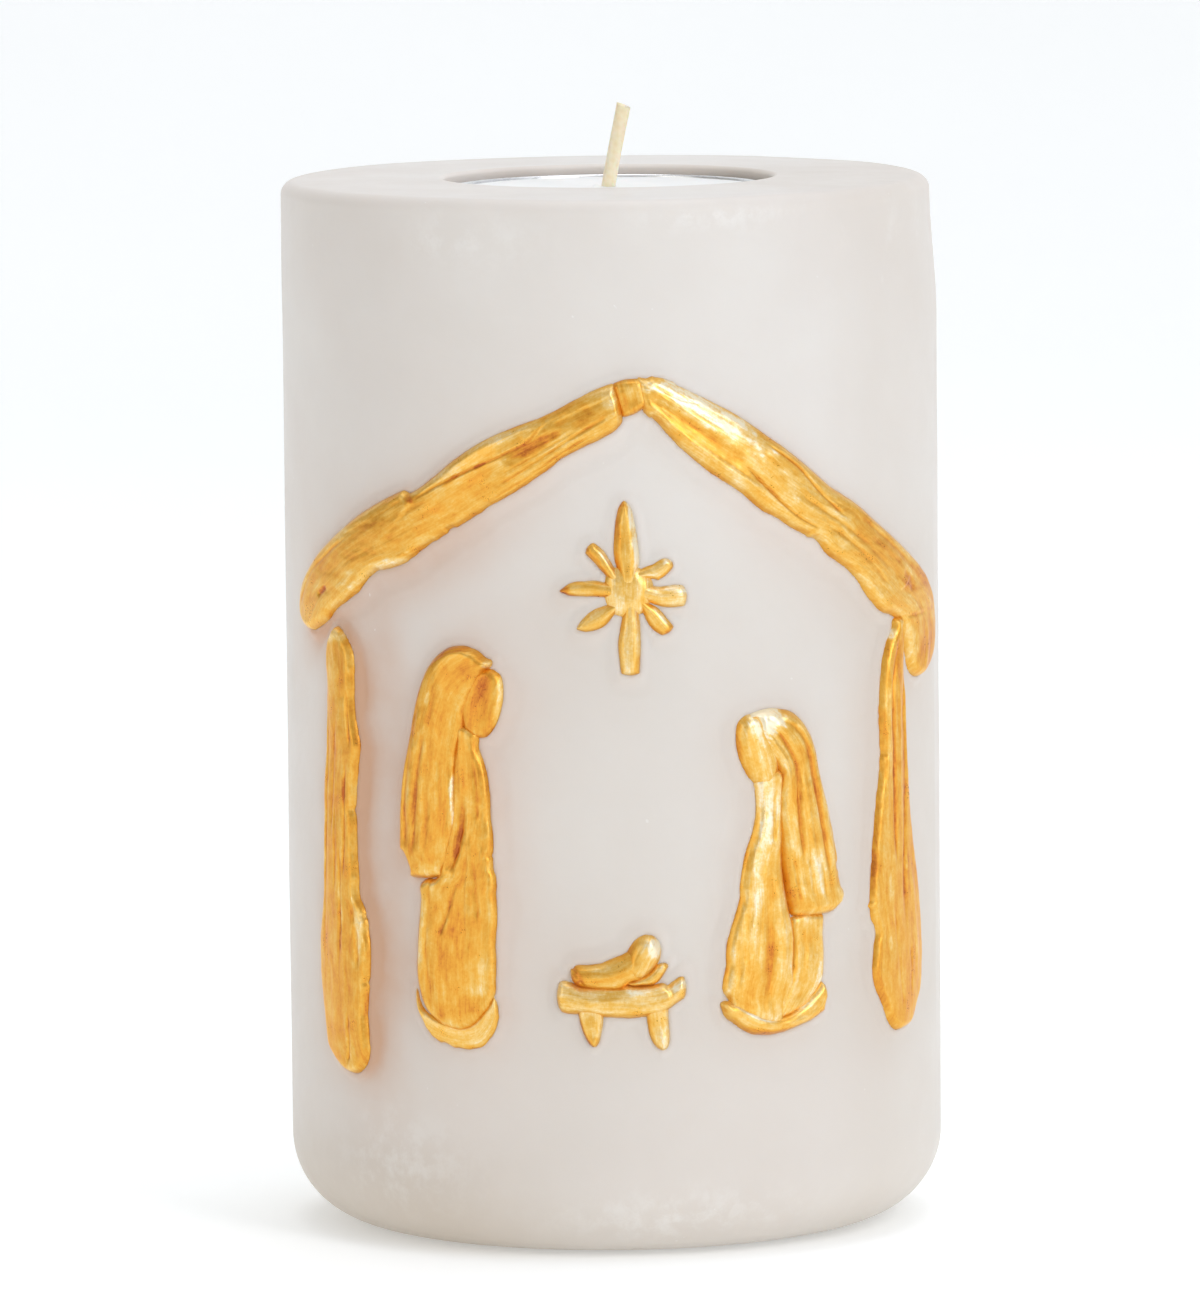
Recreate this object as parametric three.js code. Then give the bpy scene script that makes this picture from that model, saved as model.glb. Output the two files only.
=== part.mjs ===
// Pillar candle shell with a gilded nativity relief, lit by a tea light that lifts out of a well in its top.
// Millimetres, +Z up. The origin is the centre of the flat base, and the relief faces -Y.
//
// The relief is drawn on the unrolled face of the pillar: each point is [across, up], where across runs along
// the round surface from the line that faces -Y, positive towards +X, and up is the height above the base.

import * as THREE from "three";

// Pillar shell
const PILLAR_RADIUS = 39.75;
const PILLAR_HEIGHT = 127;
const BASE_ROUNDING = 10.4;
const TOP_ROUNDING = 2.6;
const WELL_RADIUS = 20.05;
const WELL_LIP_ROUNDING = 0.8;

// Tea light, from the well's floor up
const REST_GAP = 0.3; // kept between pieces that rest on or touch each other
const CUP_HEIGHT = 15.8;
const CUP_RADIUS = 18.95;
const CUP_WALL = 0.3;
const CUP_RIM_RADIUS = 19.3;
const CUP_BELOW_TOP = 1.15; // from the pillar's top down to the cup's rim
const FILL_BELOW_RIM = 0.4;
const WICK_RADIUS = 0.875;
const WICK_SHOWS = 10.1; // height of the wick above the fill
const WICK_LEAN = 0.2; // sideways run of the wick for each millimetre of height above the fill
const TAB_RADIUS = 6.5;
const TAB_SHEET = 0.35;
const TAB_NECK_HEIGHT = 4;

const RIM_Z = PILLAR_HEIGHT - CUP_BELOW_TOP;
const CUP_Z = RIM_Z - CUP_HEIGHT;
const WELL_FLOOR_Z = CUP_Z - REST_GAP;
const FILL_Z = RIM_Z - FILL_BELOW_RIM;
const TAB_Z = CUP_Z + CUP_WALL + REST_GAP;
const BORE_RADIUS = WICK_RADIUS + REST_GAP;
const NECK_RADIUS = BORE_RADIUS + TAB_SHEET;

const LATHE_SIDES = 72;
const CUP_SIDES = 48;
const TAB_SIDES = 24;
const WICK_SIDES = 10;

const wax = new THREE.MeshStandardMaterial({ color: 0xe3ddd7, roughness: 0.5, metalness: 0 });
const fillWax = new THREE.MeshStandardMaterial({ color: 0xf3f6f3, roughness: 0.45, metalness: 0 });
const aluminium = new THREE.MeshStandardMaterial({ color: 0xd4d7d9, roughness: 0.3, metalness: 1 });
const tinplate = new THREE.MeshStandardMaterial({ color: 0xb9bcc0, roughness: 0.4, metalness: 1 });
const waxedCotton = new THREE.MeshStandardMaterial({ color: 0xeedfae, roughness: 0.6, metalness: 0 });
const gilding = new THREE.MeshStandardMaterial({ color: 0xe6a93c, roughness: 0.35, metalness: 0.9 });

const candle = new THREE.Group();

function add(name, geometry, material) {
  const mesh = new THREE.Mesh(geometry, material);
  mesh.name = name;
  candle.add(mesh);
  return mesh;
}

// ---- Turned pieces ----

// A quarter of a round corner in a profile, from one angle to another, in degrees, as [radius, z] points.
function corner(radius, z, rounding, fromDegrees, toDegrees, steps) {
  return Array.from({ length: steps + 1 }, (_, i) => {
    const angle = THREE.MathUtils.degToRad(THREE.MathUtils.lerp(fromDegrees, toDegrees, i / steps));
    return [radius + rounding * Math.cos(angle), z + rounding * Math.sin(angle)];
  });
}

// A profile of [radius, z] points, turned about the Z axis.
function turned(profile, sides) {
  const points = profile.map(([radius, z]) => new THREE.Vector2(radius, z));
  return new THREE.LatheGeometry(points, sides).rotateX(Math.PI / 2);
}

function pillarShell() {
  return turned(
    [
      [0, 0],
      ...corner(PILLAR_RADIUS - BASE_ROUNDING, BASE_ROUNDING, BASE_ROUNDING, -90, 0, 7),
      ...corner(PILLAR_RADIUS - TOP_ROUNDING, PILLAR_HEIGHT - TOP_ROUNDING, TOP_ROUNDING, 0, 90, 4),
      ...corner(WELL_RADIUS + WELL_LIP_ROUNDING, PILLAR_HEIGHT - WELL_LIP_ROUNDING, WELL_LIP_ROUNDING, 90, 180, 2),
      [WELL_RADIUS, WELL_FLOOR_Z],
      [0, WELL_FLOOR_Z],
    ],
    LATHE_SIDES,
  );
}

function teaLightCup() {
  const inside = CUP_RADIUS - CUP_WALL;
  const beadHeight = 0.7;
  return turned(
    [
      [0, CUP_Z],
      [CUP_RADIUS - 1, CUP_Z],
      [CUP_RADIUS - 0.3, CUP_Z + 0.7],
      [CUP_RADIUS, RIM_Z - beadHeight - 0.3],
      [CUP_RIM_RADIUS, RIM_Z - beadHeight],
      [CUP_RIM_RADIUS, RIM_Z - 0.2],
      [CUP_RIM_RADIUS - 0.2, RIM_Z],
      [inside, RIM_Z],
      [inside - 0.3, CUP_Z + 1],
      [inside - 0.9, CUP_Z + CUP_WALL],
      [0, CUP_Z + CUP_WALL],
    ],
    CUP_SIDES,
  );
}

// The fill is a ring round the wick, with a wider bore at its foot for the wick tab's neck.
function teaLightFill() {
  const outside = CUP_RADIUS - CUP_WALL - REST_GAP;
  const foot = TAB_Z + TAB_SHEET + REST_GAP;
  const neckRoom = NECK_RADIUS + REST_GAP;
  const neckTop = TAB_Z + TAB_NECK_HEIGHT + REST_GAP;
  return turned(
    [
      [neckRoom, foot],
      [outside - 0.8, foot],
      [outside - 0.3, foot + 0.8],
      [outside, FILL_Z - 0.5],
      [outside - 0.5, FILL_Z],
      [BORE_RADIUS, FILL_Z],
      [BORE_RADIUS, neckTop],
      [neckRoom, neckTop],
      [neckRoom, foot],
    ],
    CUP_SIDES,
  );
}

function wickTab() {
  return turned(
    [
      [BORE_RADIUS, TAB_Z],
      [TAB_RADIUS, TAB_Z],
      [TAB_RADIUS, TAB_Z + TAB_SHEET],
      [NECK_RADIUS, TAB_Z + TAB_SHEET],
      [NECK_RADIUS, TAB_Z + TAB_NECK_HEIGHT],
      [BORE_RADIUS, TAB_Z + TAB_NECK_HEIGHT],
      [BORE_RADIUS, TAB_Z],
    ],
    TAB_SIDES,
  );
}

// The wick runs straight up the bore, then leans towards +X where it leaves the fill.
function wick() {
  const section = new THREE.Shape();
  section.absarc(0, 0, WICK_RADIUS, 0, 2 * Math.PI);
  const foot = TAB_Z + REST_GAP;
  const tip = FILL_Z + WICK_SHOWS;
  const heights = [foot, (foot + FILL_Z) / 2, FILL_Z - 1.5, FILL_Z, (FILL_Z + tip) / 2, tip];
  const path = new THREE.CatmullRomCurve3(
    heights.map((z) => new THREE.Vector3(WICK_LEAN * Math.max(0, z - FILL_Z), 0, z)),
  );
  return new THREE.ExtrudeGeometry(section, {
    steps: 16,
    curveSegments: WICK_SIDES,
    extrudePath: path,
  });
}

add("wax_pillar", pillarShell(), wax);
add("tea_light_cup", teaLightCup(), aluminium);
add("tea_light_fill", teaLightFill(), fillWax);
add("wick_tab", wickTab(), tinplate);
add("wick", wick(), waxedCotton);

// ---- Relief ----

// Section of a relief piece: [share of the width, share of the thickness], from the left foot over the crest
// to the right foot, and back along the pillar's face.
const RELIEF_SECTION = [
  [0, 0],
  [0, 0.5],
  [0.18, 0.88],
  [0.5, 1],
  [0.82, 0.88],
  [1, 0.5],
  [1, 0],
  [0.5, 0],
];

// Puts a point of the unrolled face, raised above it, on the round pillar.
function onPillar(across, up, raised) {
  const angle = across / PILLAR_RADIUS;
  const radius = PILLAR_RADIUS + REST_GAP + raised;
  return [radius * Math.sin(angle), -radius * Math.cos(angle), up];
}

function spaced(edge, steps) {
  return new THREE.SplineCurve(edge.map(([across, up]) => new THREE.Vector2(across, up))).getSpacedPoints(steps);
}

// A domed strip between a left and a right edge, which both run from its first end to its second.
// Left and right are as seen when the first end is at the bottom.
function strip(left, right, thickness, steps) {
  const leftPoints = spaced(left, steps);
  const rightPoints = spaced(right, steps);
  const positions = [];
  for (let i = 0; i <= steps; i++) {
    for (const [share, height] of RELIEF_SECTION) {
      const at = leftPoints[i].clone().lerp(rightPoints[i], share);
      positions.push(...onPillar(at.x, at.y, height * thickness));
    }
  }
  const ring = RELIEF_SECTION.length;
  const faces = [];
  for (let i = 0; i < steps; i++) {
    for (let j = 0; j < ring; j++) {
      const here = i * ring + j;
      const next = i * ring + ((j + 1) % ring);
      faces.push(here, next, here + ring, next, next + ring, here + ring);
    }
  }
  const backMiddle = ring - 1;
  const lastRing = steps * ring;
  for (let j = 0; j < ring - 2; j++) {
    faces.push(backMiddle, j + 1, j);
    faces.push(lastRing + backMiddle, lastRing + j, lastRing + j + 1);
  }
  const geometry = new THREE.BufferGeometry();
  geometry.setAttribute("position", new THREE.Float32BufferAttribute(positions, 3));
  geometry.setIndex(faces);
  return geometry;
}

// The two edges of an oval that leans clockwise by a number of degrees, from its foot to its top.
function oval(centre, halfHeight, halfWidth, leanDegrees) {
  const lean = THREE.MathUtils.degToRad(leanDegrees);
  const side = (sign) =>
    Array.from({ length: 9 }, (_, i) => {
      const angle = THREE.MathUtils.degToRad(10 + 20 * i);
      const x = sign * halfWidth * Math.sin(angle);
      const y = -halfHeight * Math.cos(angle);
      return [
        centre[0] + x * Math.cos(lean) + y * Math.sin(lean),
        centre[1] - x * Math.sin(lean) + y * Math.cos(lean),
      ];
    });
  return [side(-1), side(1)];
}

// Every relief piece: its left edge, its right edge, its thickness and the steps along it.
const RELIEF = {
  left_rafter: [
    [
      [-44.8, 73.8], [-46.8, 75.2], [-47.2, 77.1], [-46.1, 79.7], [-42.9, 82.9], [-38.6, 85.7], [-34.7, 88.1],
      [-30.8, 90.1], [-26.6, 91.9], [-23.4, 93.2], [-19.7, 95.7], [-15.4, 98.3], [-11.5, 100], [-7.9, 101.4],
      [-4.3, 103.2], [-1.6, 104.5], [0.9, 105.3],
    ],
    [
      [-44.2, 73.7], [-40.8, 75], [-38.4, 76.8], [-34.8, 78.8], [-31.3, 81.6], [-25.9, 83.5], [-23.5, 85.1],
      [-20.1, 87.2], [-16.4, 89.4], [-12.4, 91.7], [-9.8, 93.4], [-7.1, 95.1], [-5.4, 96.5], [-2.6, 97.9],
      [0.5, 99.5], [1.8, 101],
    ],
    1.7,
    24,
  ],
  ridge_wedge: [
    [[2.5, 101.4], [1.9, 103.3], [1.4, 105.2]],
    [[3.5, 101.9], [3.3, 103.6], [2.8, 105.4]],
    1.3,
    4,
  ],
  right_rafter: [
    [
      [3.3, 105.7], [4.8, 105.9], [6.5, 105.6], [9.6, 104.1], [13.9, 101.9], [17.1, 99.9], [20.4, 97.6],
      [23.6, 95.3], [28.2, 91.8], [31.6, 90], [35.8, 87.2], [40.8, 84.1], [45.3, 81.4], [49, 78.5], [50.6, 75.2],
      [50.6, 72.6], [49.6, 69.5], [47.7, 67.9], [45.7, 67.2],
    ],
    [
      [3.9, 101.9], [4.7, 101.3], [5.8, 100.2], [7.7, 98], [9.8, 96.1], [12.3, 94], [15.3, 92.1], [18.7, 89.4],
      [20.4, 88.6], [23.2, 86.8], [25.6, 85.9], [27.5, 83.8], [31.5, 81.2], [34.9, 77.6], [37.2, 76], [40.7, 74.6],
      [42.1, 71.9], [42.8, 68.8], [45, 67.3],
    ],
    1.8,
    26,
  ],
  left_post: [
    [
      [-36.4, 20.9], [-38.9, 22.3], [-40.7, 24], [-41.6, 27.8], [-42.2, 32.2], [-42.4, 36.9], [-41.8, 40.9],
      [-41.4, 47.5], [-41.2, 55.3], [-40.7, 59.9], [-40.3, 67.4], [-40.5, 71.1], [-39.8, 73.7], [-38.5, 74.9],
    ],
    [
      [-35.2, 20.8], [-33.1, 22.7], [-32.8, 25.1], [-33.1, 27.4], [-32.7, 33.2], [-32.9, 38.7], [-33.2, 41.8],
      [-34.3, 42.9], [-34.5, 49.9], [-34.5, 56.3], [-33.9, 60.6], [-34.8, 66.3], [-34.8, 71.6], [-35.8, 73.3],
      [-36.5, 74.4], [-37.8, 75],
    ],
    1.5,
    22,
  ],
  right_post: [
    [
      [39.3, 25], [38, 26], [36.9, 28.1], [35.5, 30.2], [34.6, 32], [34.6, 33.7], [34.9, 37.4], [34.1, 40.5],
      [34.4, 45.9], [35.2, 51.8], [36.1, 57.8], [36.1, 64.9], [36.9, 70.7], [38.6, 72.9], [39.3, 74],
    ],
    [
      [40.5, 25], [41.1, 25.2], [42.8, 25.7], [44.2, 27.5], [45.4, 29.7], [45.9, 33], [45.7, 37.1], [45.1, 41.1],
      [43.5, 48.4], [42.3, 57.1], [41.9, 64.9], [41.3, 68.3], [40.9, 72.2], [40.2, 74],
    ],
    1.5,
    22,
  ],
  left_figure_veil: [
    [
      [-25.2, 46.2], [-26.1, 47.6], [-27.1, 48.8], [-27.2, 52], [-27, 55.7], [-26.6, 58.6], [-25.9, 61.5],
      [-25.1, 65.3], [-24.1, 68.8], [-22.9, 71.2], [-21.6, 72.6], [-19, 73.8], [-16.6, 73.4], [-14.8, 72.3],
    ],
    [
      [-21.4, 46.6], [-20.7, 47.4], [-20, 49.7], [-19.1, 52.8], [-19.1, 56.2], [-19.1, 58.7], [-18.9, 61.3],
      [-18.2, 63.8], [-17.9, 66.2], [-16.9, 68.9], [-15.7, 70.8], [-14.9, 71.7],
    ],
    1.9,
    20,
  ],
  left_figure_face: [...oval([-15.2, 66.9], 4.2, 1.9, 14), 1.5, 10],
  left_figure_robe: [
    [
      [-19.6, 27.5], [-21.4, 28], [-23.8, 29.9], [-24.9, 33], [-25, 36.6], [-24.5, 40.8], [-24, 43.9],
      [-23.7, 45.4], [-21, 46], [-20.2, 47.2], [-19.5, 49.4], [-18.7, 52.8], [-18.7, 56.6], [-18.4, 60.2],
      [-18.1, 62.1],
    ],
    [
      [-18.6, 27.5], [-17.3, 28.1], [-15.5, 30.1], [-14.6, 31.6], [-14.4, 34.2], [-14.4, 38.2], [-14.2, 42.4],
      [-14.6, 46.9], [-14.6, 50.6], [-14.9, 53.7], [-15, 56.4], [-15.4, 58.9], [-15.9, 60.4], [-16.4, 61.6],
    ],
    1.5,
    22,
  ],
  left_figure_hem: [
    [[-25.3, 32.3], [-24.3, 29.3], [-21.8, 27.5], [-19.1, 26.9], [-17.1, 27.5], [-15.4, 29.3], [-14.4, 30.9]],
    [[-25.4, 31.9], [-24.9, 29.6], [-23.1, 27.2], [-20.5, 25.9], [-18.2, 25.6], [-15.6, 26.7], [-14.2, 30.2]],
    1.2,
    12,
  ],
  right_figure_veil: [
    [
      [22, 41], [21.4, 42.5], [21.2, 44.2], [20.8, 47.1], [20.4, 51.5], [20.5, 55.3], [20.6, 57.3], [20.4, 58.9],
      [19.2, 60.5], [17.9, 63.2], [17.5, 65.2],
    ],
    [
      [28.2, 41], [29.4, 41.9], [28.9, 44.6], [28.5, 47.6], [27.6, 51.9], [26.6, 55.7], [25.9, 58.2],
      [25.3, 61.1], [24.1, 63.5], [22.3, 65.3], [19.2, 66], [17.8, 65.8],
    ],
    1.9,
    20,
  ],
  right_figure_face: [...oval([16.4, 61.2], 4.4, 2, -17), 1.6, 10],
  right_figure_robe: [
    [
      [13.8, 31.1], [13, 32.8], [13.4, 35], [13.6, 37.9], [14.5, 40.9], [15.2, 43.2], [15.2, 44.9], [15.8, 48.4],
      [16.7, 50.9], [17.4, 53.9], [17.6, 56],
    ],
    [
      [19.6, 29], [20.4, 30.9], [21.4, 33.2], [21.8, 36.8], [21.3, 39.8], [20.7, 42.3], [20.4, 44.3],
      [20, 47.2], [19.8, 51.5], [19.6, 54], [19.4, 56.3],
    ],
    1.6,
    18,
  ],
  right_figure_train: [
    [[20.4, 29.5], [21, 30.9], [21.9, 33.2], [22.4, 36.8], [22.3, 40.3]],
    [[23.6, 30.4], [25.4, 32.2], [26.2, 35.3], [26.1, 38], [26.3, 40.3]],
    1.4,
    10,
  ],
  right_figure_hem: [
    [
      [12.4, 30.9], [14, 30.7], [15.9, 29.6], [17.8, 28.6], [19.6, 28.2], [21.7, 28.7], [23.6, 29.8],
      [25.2, 31.2], [26.5, 32.4],
    ],
    [
      [12.5, 30.3], [12.9, 29.4], [14.5, 28.1], [16.3, 27.1], [18.9, 26.8], [22, 27.2], [24.9, 28.1],
      [26.4, 29.2], [26.9, 31.6],
    ],
    1.4,
    14,
  ],
  manger_bed: [
    [
      [-7.1, 33.2], [-6.3, 33.8], [-5.1, 33.6], [-3.4, 33.1], [0, 33.1], [3.4, 33.1], [5, 33.3], [6.7, 33.5],
      [7.7, 33.9], [8.5, 33.1],
    ],
    [
      [-7.1, 31], [-5.8, 30.5], [-4.4, 30.5], [-1.3, 30.3], [1.3, 30.3], [3.5, 30.5], [5.2, 30.6], [6.2, 30.9],
      [7.5, 31.7], [8.5, 32.7],
    ],
    1.5,
    14,
  ],
  manger_left_leg: [
    [[-3.1, 26.2], [-4, 28.2], [-4.4, 30.1]],
    [[-2.2, 26.2], [-1.7, 28.2], [-1.5, 29.9]],
    1.1,
    5,
  ],
  manger_right_leg: [
    [[5.1, 25.7], [4.2, 27.4], [3.7, 30.1]],
    [[5.9, 25.7], [6.2, 27.4], [6, 30.2]],
    1.1,
    5,
  ],
  infant_body: [
    [[-5.3, 34.9], [-4.7, 35.8], [-2.9, 36], [-1.2, 36.2], [0.6, 36.3]],
    [[-5.1, 34.2], [-3.4, 33.7], [-1.3, 33.6], [0.3, 33.6], [1.2, 34.2]],
    1.6,
    8,
  ],
  infant_head: [...oval([3.2, 36.8], 2.7, 1.9, 25), 2, 10],
  infant_pillow: [
    [[2.4, 33.6], [3.9, 33.9], [5, 35], [5.5, 36.2]],
    [[2.7, 33.4], [4.6, 33.6], [5.7, 34.9], [6.2, 36.2]],
    1.2,
    6,
  ],
  star_hub: [...oval([1.9, 80.5], 1.7, 1.7, 0), 1, 8],
  star_ray_top: [
    [[0.7, 82.8], [0.3, 84.6], [0.4, 87.5], [0.8, 89.8], [1.3, 91.3]],
    [[3, 82.8], [3.2, 84.6], [2.9, 87.4], [2.3, 89.9], [1.7, 91.3]],
    1.3,
    8,
  ],
  star_ray_bottom: [
    [[1.1, 70.5], [0.8, 74.2], [1.1, 76.9], [1.3, 78.3]],
    [[3, 70.5], [3.2, 74.2], [3.2, 76.6], [3, 78.3]],
    1.2,
    6,
  ],
  star_ray_left: [
    [[-0.3, 79.8], [-2.8, 80], [-5.2, 80.1], [-6, 80.4]],
    [[-0.3, 81.5], [-1.9, 81.8], [-4.5, 81.6], [-6, 80.7]],
    1,
    6,
  ],
  star_ray_right: [
    [[4, 81.3], [5.7, 80.9], [8.3, 81], [9, 80.2]],
    [[4, 79.4], [6.4, 78.7], [8.7, 78.9], [9, 79.7]],
    1.1,
    6,
  ],
  star_ray_upper_left: [
    [[-0.4, 82.3], [-1.9, 84.1], [-3.2, 85.5]],
    [[0.1, 83.3], [-1.1, 85.2], [-2.5, 86.4]],
    1,
    5,
  ],
  star_ray_upper_right: [
    [[3.5, 83], [5, 83.7], [6.6, 84.6]],
    [[4.2, 82.1], [5.9, 82.2], [7.5, 83.8]],
    1,
    5,
  ],
  star_ray_lower_left: [
    [[0.5, 78.1], [-1.2, 76.3], [-3.1, 75.8], [-4.2, 75.9]],
    [[-0.1, 79.1], [-1.3, 78.7], [-2.7, 78], [-4.3, 76.3]],
    1,
    5,
  ],
  star_ray_lower_right: [
    [[4.3, 79], [5.5, 78.2], [7.4, 75.9]],
    [[3.6, 78.2], [4.7, 76.2], [6.3, 75.1]],
    1,
    5,
  ],
};

for (const [name, [left, right, thickness, steps]] of Object.entries(RELIEF)) {
  add(name, strip(left, right, thickness, steps), gilding);
}

export default candle;
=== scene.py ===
"""Looks for the pillar candle: ivory wax pillar, gilded relief and tea light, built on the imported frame.

The relief is worked on the unrolled face of the pillar, in millimetres: across runs along the round
surface from the line that faces -Y, positive towards +X, and up is the height above the base. Each
relief piece takes its two edges from its CAD node. A place on it is (along, side): along from its first
end to its second, and side from its left edge to its right one, as seen when the first end is at the
bottom.
"""

import math

import bmesh
import bpy
import numpy as np
from mathutils import Matrix, Vector
from mathutils.kdtree import KDTree


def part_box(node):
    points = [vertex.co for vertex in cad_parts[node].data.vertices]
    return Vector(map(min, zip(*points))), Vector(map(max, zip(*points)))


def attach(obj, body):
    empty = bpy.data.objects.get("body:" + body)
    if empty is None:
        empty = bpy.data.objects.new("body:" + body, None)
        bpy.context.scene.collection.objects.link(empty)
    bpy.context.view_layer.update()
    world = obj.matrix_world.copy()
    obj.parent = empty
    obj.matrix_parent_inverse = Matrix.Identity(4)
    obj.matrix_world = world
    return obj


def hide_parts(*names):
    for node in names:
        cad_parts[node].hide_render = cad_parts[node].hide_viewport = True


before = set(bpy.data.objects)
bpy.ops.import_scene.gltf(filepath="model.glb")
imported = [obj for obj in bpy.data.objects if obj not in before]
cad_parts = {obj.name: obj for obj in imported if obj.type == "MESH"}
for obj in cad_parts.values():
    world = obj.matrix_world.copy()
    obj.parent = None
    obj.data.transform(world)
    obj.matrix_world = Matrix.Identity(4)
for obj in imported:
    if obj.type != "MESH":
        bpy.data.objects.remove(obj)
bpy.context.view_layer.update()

MM = 0.001
PILLAR_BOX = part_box("wax_pillar")
RADIUS = PILLAR_BOX[1].x / MM
HEIGHT = PILLAR_BOX[1].z / MM
SUNK = 0.25  # depth of the relief's foot below the face of the pillar
MARKING_STEPS = 28  # points on the curve of a stroke or of a fold's edge


# ---- Small tools ----

def smooth(low, high, value):
    """A step from 0 to 1 between low and high, soft at both ends."""
    t = np.clip((value - low) / (high - low), 0, 1)
    return t * t * (3 - 2 * t)


def noise(x, y, seed):
    """Lumps of about one unit, from -1 to 1."""
    x, y = np.broadcast_arrays(np.asarray(x, float), np.asarray(y, float))
    column, row = np.floor(x).astype(np.int64), np.floor(y).astype(np.int64)
    fx, fy = smooth(0, 1, x - column), smooth(0, 1, y - row)

    def corner(i, j):
        """A number from -1 to 1 for a grid corner, from a 32-bit hash of its place."""
        mixed = ((column + i) * 374761393 + (row + j) * 668265263 + seed * 974711) & 0xFFFFFFFF
        mixed = ((mixed ^ (mixed >> 13)) * 1274126177) & 0xFFFFFFFF
        return ((mixed ^ (mixed >> 16)) & 0xFFFF) / 32767.5 - 1

    near = corner(0, 0) * (1 - fx) + corner(1, 0) * fx
    far = corner(0, 1) * (1 - fx) + corner(1, 1) * fx
    return near * (1 - fy) + far * fy


def rough(x, y, seed, octaves=3):
    """Noise with finer lumps on it."""
    return sum(noise(x * 2**k, y * 2**k, seed + 17 * k) / 2**k for k in range(octaves)) / 1.6


def blurred(grid, rows, columns):
    """The grid averaged over about that many rows and columns each way."""
    for axis, spread in ((0, rows), (1, columns)):
        reach = max(1, int(math.ceil(2.5 * spread)))
        weights = np.exp(-0.5 * (np.arange(-reach, reach + 1) / max(spread, 0.3)) ** 2)
        weights /= weights.sum()
        padded = np.pad(grid, [(reach, reach) if a == axis else (0, 0) for a in (0, 1)], mode="edge")
        grid = np.apply_along_axis(np.convolve, axis, padded, weights, mode="valid")
    return grid


def curve(points, count):
    """Evenly spaced points on a smooth curve through the given ones."""
    points = np.asarray(points, float)
    at = np.r_[0, np.cumsum(np.linalg.norm(np.diff(points, axis=0), axis=1))]
    slopes = np.gradient(points, at, axis=0)
    t = np.linspace(0, at[-1], count)
    k = np.clip(np.searchsorted(at, t, side="right") - 1, 0, len(at) - 2)
    step = (at[k + 1] - at[k])[:, None]
    f = ((t - at[k]) / (at[k + 1] - at[k]))[:, None]
    return (
        points[k] * (2 * f**3 - 3 * f**2 + 1)
        + slopes[k] * step * (f**3 - 2 * f**2 + f)
        + points[k + 1] * (3 * f**2 - 2 * f**3)
        + slopes[k + 1] * step * (f**3 - f**2)
    )


def distance(points, line):
    """How far each point is from a line, and where along the line its nearest point is, from 0 to 1."""
    best = np.full(len(points), np.inf)
    place = np.zeros(len(points))
    for i, (a, b) in enumerate(zip(line[:-1], line[1:])):
        run = b - a
        t = np.clip(((points - a) @ run) / max(run @ run, 1e-12), 0, 1)
        gap = np.linalg.norm(points - (a + t[:, None] * run), axis=1)
        closer = gap < best
        best = np.where(closer, gap, best)
        place = np.where(closer, (i + t) / (len(line) - 1), place)
    return best, place


def on_pillar(across, up, radius):
    """Points of the unrolled face at a distance from the axis, in metres."""
    angle = across / RADIUS
    return np.stack([radius * np.sin(angle), -radius * np.cos(angle), up + 0 * radius], -1) * MM


def unrolled(points):
    """Points in metres as [across, up] on the unrolled face, and their distances from the axis."""
    x, y, z = (np.asarray(points, float) / MM).T
    return np.stack([RADIUS * np.arctan2(x, -y), z], 1), np.hypot(x, y)


def smooth_object(name, vertices, faces, material):
    mesh = bpy.data.meshes.new(name)
    mesh.from_pydata([tuple(v) for v in vertices], [], [tuple(f) for f in faces])
    mesh.validate()
    mesh.materials.append(material)
    mesh.polygons.foreach_set("use_smooth", [True] * len(mesh.polygons))
    mesh.update()
    thing = bpy.data.objects.new(name, mesh)
    bpy.context.scene.collection.objects.link(thing)
    return thing


def new_piece(name, vertices, faces, material, body, node):
    """A mesh object on a CAD body, standing for a CAD node."""
    piece = smooth_object(name, vertices, faces, material)
    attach(piece, body)
    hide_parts(node)
    return piece


def give(piece, name, values):
    """A number, or a vector, at each point of a piece, for its material to read."""
    values = np.asarray(values, np.float32)
    kind, field = ("FLOAT", "value") if values.ndim == 1 else ("FLOAT_VECTOR", "vector")
    piece.data.attributes.new(name, kind, "POINT").data.foreach_set(field, values.ravel())


def turned(profile, angle, radius, height):
    """Vertices and faces of a closed surface round Z, made of rings between two points on the axis.

    The rings' points are given by their angles from -Y, distances from the axis and heights."""
    rings, count = angle.shape
    middle = np.stack([radius * np.sin(angle), -radius * np.cos(angle), height], -1).reshape(-1, 3)
    vertices = np.concatenate([[[0, 0, profile[0, 1]]], middle, [[0, 0, profile[-1, 1]]]]) * MM
    return vertices, ring_faces(rings, count)


def ring_faces(rings, count):
    """Faces between rings of that many points, with a single point before the first ring and after the last."""
    at = lambda ring, k: 1 + ring * count + k % count
    last = 1 + rings * count
    faces = []
    for k in range(count):
        faces.append((0, at(0, k + 1), at(0, k)))
        faces.append((last, at(rings - 1, k), at(rings - 1, k + 1)))
    for ring in range(rings - 1):
        for k in range(count):
            faces.append((at(ring, k), at(ring, k + 1), at(ring + 1, k + 1), at(ring + 1, k)))
    return faces


# ---- Materials ----

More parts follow.
